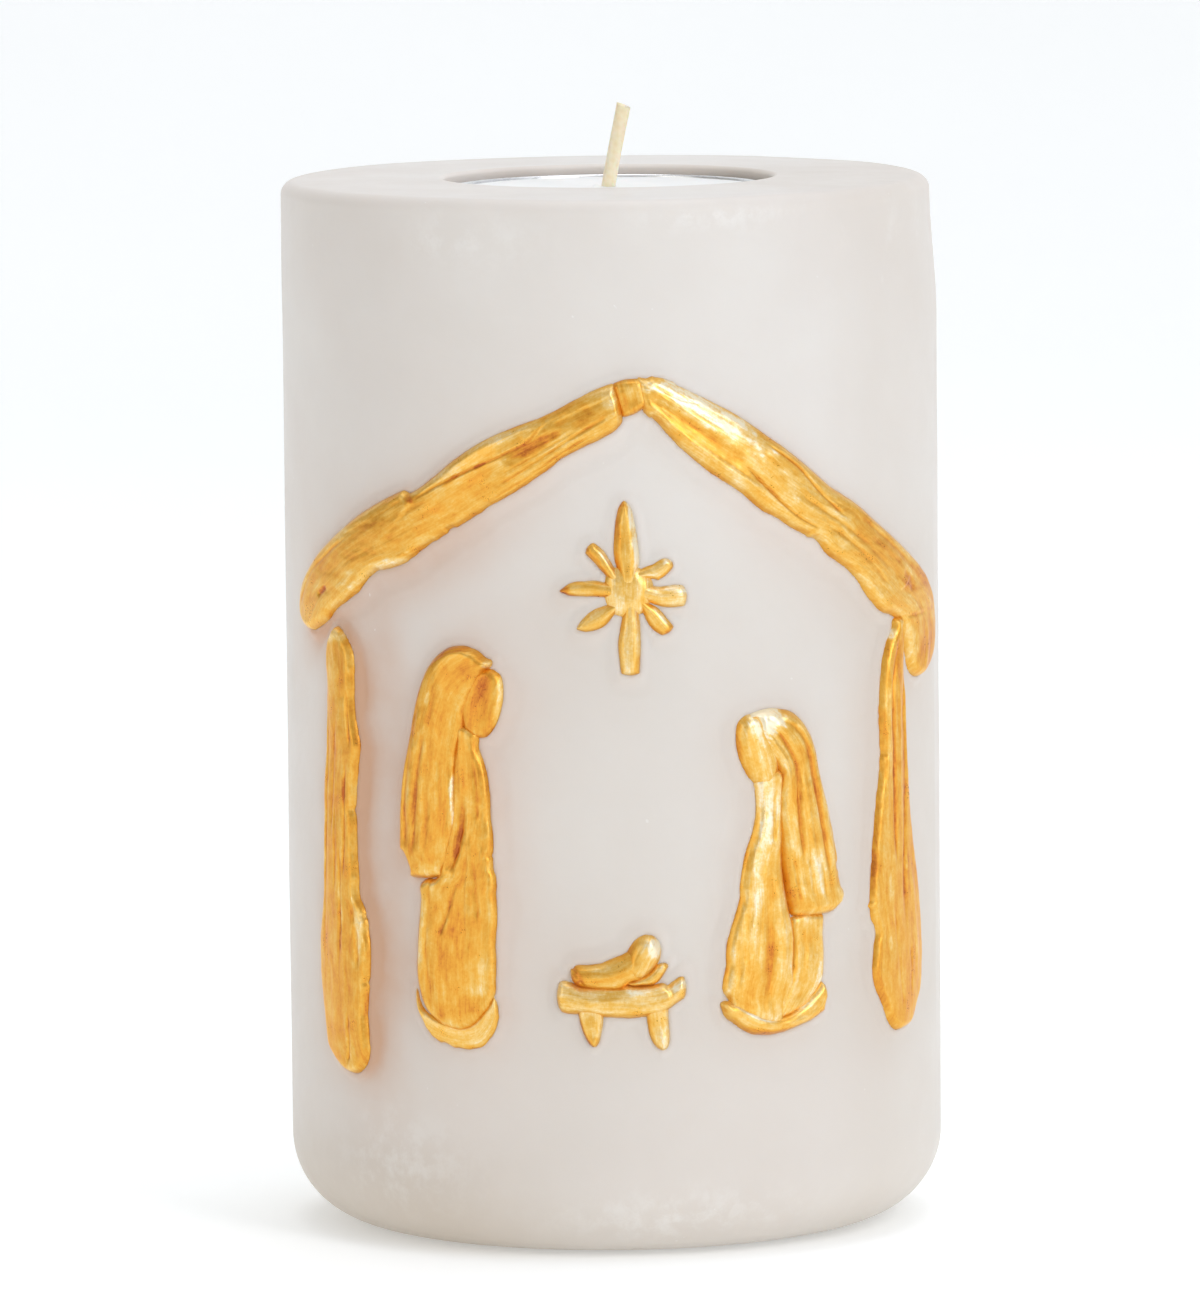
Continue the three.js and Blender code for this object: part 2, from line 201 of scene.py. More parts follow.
class Nodes:
    """A material's node tree, with a short way to add nodes and join them."""

    def __init__(self, name):
        self.material = bpy.data.materials.new(name)
        self.material.use_nodes = True
        self.tree = self.material.node_tree
        self.tree.nodes.clear()
        self.shader = self.add("ShaderNodeBsdfPrincipled")
        self.join(self.shader.outputs["BSDF"], self.add("ShaderNodeOutputMaterial").inputs["Surface"])
        self.place = self.add("ShaderNodeTexCoord").outputs["Object"]

    def add(self, kind, **settings):
        node = self.tree.nodes.new(kind)
        for key, value in settings.items():
            setattr(node, key, value)
        return node

    def join(self, source, target):
        self.tree.links.new(source, target)

    def set(self, **values):
        """Sockets of the shader that are the same all over the surface."""
        for key, value in values.items():
            self.shader.inputs[key.replace("_", " ").title().replace("Ior", "IOR")].default_value = value

    def drive(self, colour, roughness=None, normal=None):
        """Joins what changes over the surface to the shader."""
        for name, value in (("Base Color", colour), ("Roughness", roughness), ("Normal", normal)):
            if value is not None:
                self.join(value, self.shader.inputs[name])

    def attribute(self, name, output="Fac"):
        return self.add("ShaderNodeAttribute", attribute_name=name).outputs[output]

    def math(self, operation, a, b, clamp=False):
        node = self.add("ShaderNodeMath", operation=operation, use_clamp=clamp)
        for socket, value in zip(node.inputs, (a, b)):
            if isinstance(value, (int, float)):
                socket.default_value = value
            else:
                self.join(value, socket)
        return node.outputs[0]

    def noise(self, vector, scale, detail=3.0, roughness=0.55, stretch=(1, 1, 1)):
        """Noise over a vector, in lumps of 1/scale of its unit, with each axis scaled by stretch."""
        mapping = self.add("ShaderNodeMapping")
        mapping.inputs["Scale"].default_value = stretch
        self.join(vector, mapping.inputs["Vector"])
        texture = self.add("ShaderNodeTexNoise")
        for key, value in (("Scale", scale), ("Detail", detail), ("Roughness", roughness)):
            texture.inputs[key].default_value = value
        self.join(mapping.outputs["Vector"], texture.inputs["Vector"])
        return texture.outputs["Fac"]

    def ramp(self, value, stops):
        node = self.add("ShaderNodeValToRGB")
        elements = node.color_ramp.elements
        while len(elements) < len(stops):
            elements.new(0.5)
        for element, (position, colour) in zip(elements, stops):
            element.position = position
            element.color = (*colour, 1)
        self.join(value, node.inputs["Fac"])
        return node.outputs["Color"]

    def between(self, value, low, high, out_low=0.0, out_high=1.0):
        node = self.add("ShaderNodeMapRange", interpolation_type="SMOOTHSTEP")
        self.join(value, node.inputs["Value"])
        for key, number in zip(("From Min", "From Max", "To Min", "To Max"), (low, high, out_low, out_high)):
            node.inputs[key].default_value = number
        return node.outputs["Result"]

    def layer(self, amount, under, colour):
        """A colour laid over another one, by an amount that changes over the surface."""
        node = self.add("ShaderNodeMix", data_type="RGBA")
        self.join(amount, node.inputs[0])
        self.join(under, node.inputs[6])
        node.inputs[7].default_value = (*colour, 1)
        return node.outputs[2]

    def bump(self, height, distance, strength, under=None):
        node = self.add("ShaderNodeBump")
        node.inputs["Strength"].default_value = strength
        node.inputs["Distance"].default_value = distance
        self.join(height, node.inputs["Height"])
        if under is not None:
            self.join(under, node.inputs["Normal"])
        return node.outputs["Normal"]


WAX_TONES = [(0.3, (0.725, 0.69, 0.65)), (0.5, (0.745, 0.712, 0.675)), (0.72, (0.765, 0.74, 0.705))]
# Tint of the warm painted shade beside the relief, and of the gilding smeared at its rim.
WARM_SHADE_AND_SMEAR_TINT = (0.62, 0.38, 0.25)
SPECKLE = (0.93, 0.93, 0.92)
# Tint of the scuffs, and of a painted highlight along the front of the top edge.
SCUFF_AND_PAINTED_SHEEN_TINT = (0.90, 0.90, 0.885)
# Tint of the painted shade at the foot, the sides and in the middle of the relief.
PAINTED_SHADE_TINT = (0.55, 0.47, 0.375)


def pillar_wax_material():
    """Translucent ivory wax: cloudy, with pale flecks and a few scuffs. Painted light on it: warm painted shade
    beside the relief, where gilding is also smeared at the rim, painted shade at the foot and the sides, and a
    painted highlight along the front of the top edge.
    """
    m = Nodes("ivory_wax")
    mottle = m.between(m.noise(m.place, 17, detail=2), 0.42, 0.7, 0.0, 0.07)
    patchy = m.between(m.noise(m.place, 160, detail=3), 0.2, 0.8, 0.8, 1.15)
    # Warm painted shade beside the relief, with the gilding smeared at its rim, broken up a little and with a faint
    # random mottle.
    warm_shade_and_smear = m.math("ADD", m.math("MULTIPLY", m.attribute("warm_shade_and_smear"), patchy), mottle, True)
    fleck = m.between(m.noise(m.place, 150, detail=2, stretch=(1, 1, 0.6)), 0.74, 0.78)
    speck = m.between(m.noise(m.place, 820, detail=1), 0.80, 0.83)
    torn = m.between(m.noise(m.place, 300, detail=5, roughness=0.7), 0.42, 0.66)
    scuff_and_painted_sheen = m.math("MULTIPLY", m.attribute("scuff_and_painted_sheen"), torn)
    colour = m.ramp(m.noise(m.place, 38, detail=4), WAX_TONES)
    colour = m.layer(warm_shade_and_smear, colour, WARM_SHADE_AND_SMEAR_TINT)
    colour = m.layer(m.math("MULTIPLY", fleck, 0.2), colour, SPECKLE)
    colour = m.layer(m.math("MULTIPLY", speck, 0.4), colour, SPECKLE)
    # Pale scuffs, and a painted highlight along the front of the top edge.
    colour = m.layer(m.math("MULTIPLY", scuff_and_painted_sheen, 0.65), colour, SCUFF_AND_PAINTED_SHEEN_TINT)
    # Painted shade: darker at the foot, at the sides and in the middle right of the relief.
    colour = m.layer(m.attribute("shade"), colour, PAINTED_SHADE_TINT)
    wear = m.between(m.noise(m.place, 120, detail=5, roughness=0.65), 0.3, 0.75, 0.36, 0.50)
    gloss = m.math("ADD", wear, m.math("MULTIPLY", scuff_and_painted_sheen, 0.2))
    soft = m.bump(m.noise(m.place, 95, detail=3), 0.00035, 0.5)
    m.drive(colour, gloss, m.bump(m.noise(m.place, 900, detail=4), 0.00004, 0.6, soft))
    m.set(subsurface_weight=0.4, subsurface_scale=0.0014, ior=1.44, subsurface_radius=(1.0, 0.9, 0.8))
    return m.material


# Deep red-brown to cream; the palest, creamy stops are reached mostly where highlights are painted in.
GOLD_TONES = [
    (0.0, (0.48, 0.11, 0.006)),
    (0.2, (0.70, 0.255, 0.018)),
    (0.38, (0.79, 0.355, 0.028)),
    (0.5, (0.825, 0.42, 0.048)),
    (0.66, (0.86, 0.515, 0.105)),
    (0.84, (0.92, 0.66, 0.27)),
    (1.0, (0.96, 0.86, 0.62)),
]


def gold_material():
    """Gilding brushed on by hand, with streaks along each strip; its tone also carries painted shade, deeper orange,
    in the grooves and painted highlights, pale, on the ridges.
    """
    m = Nodes("gilding")
    strip = m.attribute("strip", "Vector")
    streak = m.noise(strip, 1.0, detail=3, roughness=0.6, stretch=(0.2, 1.5, 1))
    hair = m.noise(strip, 1.0, detail=3, roughness=0.6, stretch=(0.35, 5.5, 1))
    blotch = m.noise(strip, 0.5, detail=4, stretch=(0.7, 1.1, 1))
    grain = m.noise(m.place, 2600, detail=3, roughness=0.7)
    tone = m.attribute("tone")
    patterns = (streak, -0.10, 0.10), (hair, -0.07, 0.07), (blotch, -0.15, 0.14), (grain, -0.085, 0.085)
    for pattern, low, high in patterns:
        tone = m.math("ADD", tone, m.between(pattern, 0.25, 0.75, low, high))
    gloss = m.math("ADD", m.between(blotch, 0.25, 0.75, 0.30, 0.42), m.between(grain, 0.3, 0.7, -0.05, 0.05))
    m.drive(m.ramp(tone, GOLD_TONES), gloss, m.bump(grain, 0.00001, 0.2, m.bump(streak, 0.00012, 0.4)))
    m.set(metallic=0.70, coat_weight=0.22, coat_roughness=0.28, coat_ior=1.6)
    return m.material


def fill_wax_material():
    """White tea light wax, smoother and whiter than the pillar."""
    m = Nodes("tea_light_wax")
    cloud = m.noise(m.place, 90, detail=4)
    colour = m.ramp(cloud, [(0.3, (0.86, 0.88, 0.87)), (0.7, (0.95, 0.965, 0.96))])
    m.drive(colour, m.between(cloud, 0.3, 0.7, 0.34, 0.45), m.bump(m.noise(m.place, 420, detail=4), 0.00005, 0.6))
    m.set(subsurface_weight=0.5, subsurface_scale=0.003, ior=1.44, subsurface_radius=(1.0, 0.85, 0.75))
    return m.material


def aluminium_material():
    """Thin drawn aluminium with faint rolling lines."""
    m = Nodes("aluminium_foil")
    lines = m.noise(m.place, 260, detail=5, roughness=0.7, stretch=(1, 1, 7))
    colour = m.ramp(lines, [(0.3, (0.74, 0.75, 0.76)), (0.7, (0.90, 0.91, 0.92))])
    m.drive(colour, m.between(lines, 0.3, 0.7, 0.20, 0.36), m.bump(lines, 0.00002, 0.5))
    m.set(metallic=1.0)
    return m.material


def tinplate_material():
    """Stamped tinned sheet."""
    m = Nodes("tinplate")
    spots = m.noise(m.place, 700, detail=4)
    colour = m.ramp(spots, [(0.3, (0.46, 0.47, 0.49)), (0.7, (0.62, 0.63, 0.65))])
    m.drive(colour, m.between(spots, 0.3, 0.7, 0.28, 0.42))
    m.set(metallic=1.0)
    return m.material


def wick_material():
    """Braided cotton soaked in wax: cream and slightly glossy, with painted shade, greyer, in the folds of the
    braid.
    """
    m = Nodes("waxed_cotton")
    fibre = m.noise(m.place, 1500, detail=4, stretch=(1, 1, 0.3))
    # The braid attribute brings painted shade into the folds of the braid.
    tone = m.math("ADD", m.attribute("braid"), m.between(fibre, 0.25, 0.75, -0.2, 0.2), True)
    colour = m.ramp(tone, [(0.1, (0.80, 0.66, 0.40)), (0.55, (0.90, 0.79, 0.53)), (1, (0.95, 0.88, 0.68))])
    m.drive(colour, m.between(fibre, 0.2, 0.8, 0.38, 0.58), m.bump(fibre, 0.00004, 0.7))
    m.set(subsurface_weight=0.35, subsurface_scale=0.0008, sheen_weight=0.15, sheen_roughness=0.5)
    return m.material


WAX = pillar_wax_material()
GOLD = gold_material()
FILL = fill_wax_material()
ALUMINIUM = aluminium_material()
TINPLATE = tinplate_material()
WICK = wick_material()


# ---- Relief ----

def node_edges(node, direction):
    """The left and right edges of a relief node's foot, each from its first end to its second.

    The foot lies at the node's smallest distance from the axis, and the crest at its largest. Each end is closed
    by a fan from the middle of the foot, the only point of the foot that an edge joins to the crest."""
    mesh = bmesh.new()
    mesh.from_mesh(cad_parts[node].data)
    bmesh.ops.remove_doubles(mesh, verts=mesh.verts, dist=1e-5)
    flat, out = unrolled([v.co for v in mesh.verts])
    mesh.verts.index_update()
    foot = out < out.min() + 0.02
    crest = out > out.max() - 0.02
    meets_crest = lambda v: any(crest[e.other_vert(v).index] for e in v.link_edges)
    ends = [v.index for v in mesh.verts if foot[v.index] and meets_crest(v)]
    links = {}
    for edge in mesh.edges:
        a, b = (v.index for v in edge.verts)
        backs = sum(all(foot[v.index] for v in face.verts) for face in edge.link_faces)
        if foot[a] and foot[b] and backs == 1:
            links.setdefault(a, []).append(b)
            links.setdefault(b, []).append(a)
    mesh.free()
    start, end = sorted(ends, key=lambda i: flat[i] @ np.array(direction, float))
    loop = [start, links[start][0]]
    while loop[-1] != start:
        a, b = links[loop[-1]]
        loop.append(b if a == loop[-2] else a)
    split = loop.index(end)
    sides = [flat[loop[1:split]], flat[loop[split + 1 : -1]][::-1]]
    run = flat[end] - flat[start]
    leftness = lambda side: np.mean((side - flat[start]) @ np.array([-run[1], run[0]]))
    return sides if leftness(sides[0]) > leftness(sides[1]) else sides[::-1]


def lengthened(left, right, before, after):
    """Both edges run on past their ends, side by side, by that many millimetres or by (across, up)."""
    first = left[0] - left[2] + right[0] - right[2]
    last = left[-1] - left[-3] + right[-1] - right[-3]
    pushes = []
    for push, way in ((before, first), (after, last)):
        pushes.append(np.array(push) if isinstance(push, tuple) else push * way / np.linalg.norm(way))
    longer = []
    for edge in (left, right):
        start = [[edge[0] + pushes[0]]] if np.any(pushes[0]) else []
        end = [[edge[-1] + pushes[1]]] if np.any(pushes[1]) else []
        longer.append(np.concatenate(start + [edge] + end))
    return longer


EASTWARD = (1, 0)
DEFAULTS = dict(
    direction=(0, 1), shift=(0, 0), scale=1, reach=(0, 0), blunt=(0, 0), grow=0, round=(0.7, 0.7), rag=(0.06, 0.06),
    left=[(0, 0)], right=[(0, 0)], left_nicks=(), right_nicks=(), left_steps=(), right_steps=(),
    shoulder=0.9, crown=0.18, lines=0.045, lumps=0.07, strokes=(), laps=(), tone=0.5, tone_patches_and_painted_light=(),
)
ROW_STEP, FEWEST_ROWS, MOST_ROWS = 0.18, 30, 340
COLUMN_STEP, FEWEST_COLUMNS, MOST_COLUMNS = 0.15, 16, 76


class Strip:
    """One relief piece: its grid of points on the unrolled face, and their heights."""

    def __init__(self, node, recipe, seed):
        self.recipe = recipe = DEFAULTS | recipe
        self.seed = seed
        left, right = self.outline(node)
        length = max(np.linalg.norm(np.diff(edge, axis=0), axis=1).sum() for edge in (left, right))
        opposite = right[np.linspace(0, len(right) - 1, len(left)).astype(int)]
        width = np.linalg.norm(left - opposite, axis=1).max()
        rows = int(np.clip(length / ROW_STEP, FEWEST_ROWS, MOST_ROWS))
        columns = int(np.clip(width / COLUMN_STEP, FEWEST_COLUMNS, MOST_COLUMNS))
        left, right = curve(left, rows), curve(right, rows)
        outward = left - right
        outward /= np.maximum(np.linalg.norm(outward, axis=1), 0.2)[:, None]
        self.along = np.linspace(0, 1, rows)
        run = self.along * length
        self.length, self.width = length, width
        grow = recipe["grow"] + recipe["blunt"][0] * np.exp(-run) + recipe["blunt"][1] * np.exp(run - length)
        left = left + outward * (grow + self.profile("left"))[:, None]
        right = right - outward * (grow + self.profile("right"))[:, None]
        start, end = recipe["round"]
        turn = np.clip(np.minimum(run / start, (length - run) / end), 0, 1)
        turn = np.sqrt(np.clip(1 - (1 - turn) ** 2, 0.03, 1))[:, None]
        middle = (left + right) / 2
        self.left = left = middle + turn * (left - middle)
        self.right = right = middle + turn * (right - middle)
        even = np.linspace(0, 1, columns)
        self.side = 0.45 * even + 0.55 * (0.5 - 0.5 * np.cos(math.pi * even))
        side = self.side[None, :]
        self.breadth = np.linalg.norm(right - left, axis=1)[:, None]
        self.run = np.broadcast_to(run[:, None], (rows, columns))
        self.span = (side - 0.5) * self.breadth
        near_left = self.ragged("left", recipe["rag"][0])[:, None] * np.exp(-side * self.breadth / 0.7)
        near_right = self.ragged("right", recipe["rag"][1])[:, None] * np.exp(-(1 - side) * self.breadth / 0.7)
        grid = left[:, None] * (1 - side)[..., None] + right[:, None] * side[..., None]
        grid = grid + outward[:, None] * (near_left - near_right)[..., None]
        self.grid = grid
        self.rim = np.concatenate([grid[:, 0], grid[::-1, -1], grid[:1, 0]])
        self.inside = distance(grid.reshape(-1, 2), self.rim)[0].reshape(rows, columns)

    def outline(self, node):
        """The CAD node's left and right edges, moved, scaled and lengthened as the recipe says."""
        edges = node_edges(node, self.recipe["direction"])
        middle = (edges[0].mean(0) + edges[1].mean(0)) / 2
        placed = middle + np.array(self.recipe["shift"])
        left, right = (placed + self.recipe["scale"] * (edge - middle) for edge in edges)
        return lengthened(left, right, *self.recipe["reach"])

    def profile(self, edge):
        """How far the recipe pushes an edge outwards along its length."""
        along, pushes = zip(*self.recipe[edge])
        pushed = np.interp(100 * self.along, along, pushes)
        return blurred(pushed[:, None], max(2, len(pushed) / 30), 0.3)[:, 0]

    def ragged(self, edge, amount):
        """Hand-cut unevenness of an edge, outwards, with its nicks and its steps."""
        run = self.along * self.length
        seed = self.seed + (3 if edge == "left" else 4)
        bites = noise(run / 2.8, 0, seed) + 0.5 * noise(run / 1.1, 5, seed) + 0.2 * noise(run / 0.5, 9, seed)
        shift = amount * bites
        for along, half, height in self.recipe[edge + "_nicks"]:
            shift = shift + height * (1 - smooth(0.3 * half, half, np.abs(run - along / 100 * self.length)))
        for along, height, reach in self.recipe[edge + "_steps"]:
            past = (run - along / 100 * self.length) * np.sign(reach)
            shift = shift + height * smooth(-0.15, 0.15, past) * np.exp(-np.maximum(past, 0) / abs(reach))
        return shift

    def place(self, along, side):
        """Where a place on the strip is on the unrolled face."""
        k = np.clip(along / 100, 0, 1) * (len(self.along) - 1)
        i = int(min(k, len(self.along) - 2))
        left, right = (edge[i] + (k - i) * (edge[i + 1] - edge[i]) for edge in (self.left, self.right))
        return left + side / 100 * (right - left)

    def marking(self, places):
        """A curve through places on the strip, and each grid point's distance from it and nearest place on it."""
        line = curve([self.place(*place) for place in places], MARKING_STEPS)
        gap, at = distance(self.grid.reshape(-1, 2), line)
        return line, gap, at

    def stroke(self, places, width):
        """A stroke through places on the strip: 1 on its line, fading over width and towards both ends."""
        _, gap, at = self.marking(places)
        taper = smooth(0, 0.2, at) * (1 - smooth(0.8, 1, at))
        wander = 1 + 0.35 * noise(at * 9, 0, self.seed + len(places))
        return (np.exp(-((gap / width) ** 2)) * taper * wander).reshape(self.inside.shape)

    def lap(self, places, width):
        """A fold's edge through places on the strip: 1 just left of its line, 0 to its right."""
        line, gap, at = self.marking(places)
        k = np.clip((at * (MARKING_STEPS - 1)).astype(int), 0, MARKING_STEPS - 2)
        run = line[k + 1] - line[k]
        away = self.grid.reshape(-1, 2) - line[k]
        side = np.sign(run[:, 0] * away[:, 1] - run[:, 1] * away[:, 0])
        taper = smooth(0, 0.15, at) * (1 - smooth(0.85, 1, at))
        fold = smooth(-0.12, 0.12, side * gap) * np.exp(-np.maximum(side * gap, 0) / width)
        return (fold * taper).reshape(self.inside.shape)

    def heights(self):
        """How high each grid point stands over the strip's foot."""
        recipe, run, span, seed = self.recipe, self.run, self.span, self.seed
        into = 1 - np.clip(self.inside / recipe["shoulder"], 0, 1)
        rise = np.clip(1 - into**2, 0, 1) ** 0.62
        height = (recipe["thick"] + SUNK) * (1 - recipe["crown"] * (2 * self.side[None, :] - 1) ** 2)
        lines = rough(run / 9, span + 40, seed + 2) + 0.3 * noise(run / 5, span / 0.4, seed + 3)
        lumps = rough(run / 3.4, span / 2.4, seed + 4)
        height = height + 0.75 * recipe["lines"] * lines + recipe["lumps"] * lumps
        height = height + 0.022 * rough(run / 0.9, span / 0.6, seed + 8)
        for places, width, amount in recipe["strokes"]:
            height = height + 0.8 * amount * self.stroke(places, width)
        for places, width, amount in recipe["laps"]:
            height = height + amount * self.lap(places, width)
        return np.maximum(height, 0.3) * rise

    def tones(self, height):
        """How pale or deep the gilding is: painted highlights on ridges, painted shade in grooves and on slopes
        facing left or down, random tone, the recipe's patches, and a paler rim.
        """
        recipe = self.recipe
        down, over = self.length / len(self.along), self.width / len(self.side)
        hollow = blurred(height, 0.5 / down, 0.5 / over) - height
        # Painted shade in the grooves, painted highlights on the ridges.
        tone = recipe["tone"] - np.clip(hollow * 1.8, -0.09, 0.24) * smooth(0.15, 0.6, self.inside)
        # Painted shade on slopes that face left or down, away from the light.
        away = np.gradient(height, axis=1) / over * (-1 if recipe["direction"] == EASTWARD else 1)
        tone = tone - 0.14 * smooth(0.3, 1.6, away)
        tone = tone + 0.07 * rough(self.run / 8, self.span, self.seed + 5)
        torn = 1 + 0.7 * rough(self.run / 1.1, self.span / 0.6, self.seed + 6)
        # The recipe's patches: many are painted highlights and painted shade, the rest tone that differs.
        for (along, side), (reach, spread), amount in recipe["tone_patches_and_painted_light"]:
            across = (self.side[None, :] - side / 100) * self.breadth
            near = ((self.run - along / 100 * self.length) / reach) ** 2 + (across / spread) ** 2
            tone = tone + amount * (1 - smooth(0.35, 1.5, near * torn))
        # A paler band along the rim: painted light lifting the shade at the strip's foot.
        return np.clip(tone + 0.10 * (1 - smooth(0, 0.35, self.inside)), 0.02, 0.98)

    def build(self, node):
        height = self.heights()
        rows, columns = height.shape
        vertices = on_pillar(self.grid[..., 0], self.grid[..., 1], RADIUS - SUNK + height).reshape(-1, 3)
        at = lambda r, c: r * columns + c % columns
        faces = [
            (at(r, c), at(r, c + 1), at(r + 1, c + 1), at(r + 1, c))
            for r in range(rows - 1)
            for c in range(columns)
        ]
        faces.append([at(0, c) for c in reversed(range(columns))])
        faces.append([at(rows - 1, c) for c in range(columns)])
        piece = new_piece("gilt_" + node, vertices, faces, GOLD, "pillar", node)
        give(piece, "tone", self.tones(height).ravel())
        strip = np.stack([self.run, self.span, np.full_like(self.run, 7.3 * self.seed)], -1)
        give(piece, "strip", strip.reshape(-1, 3))
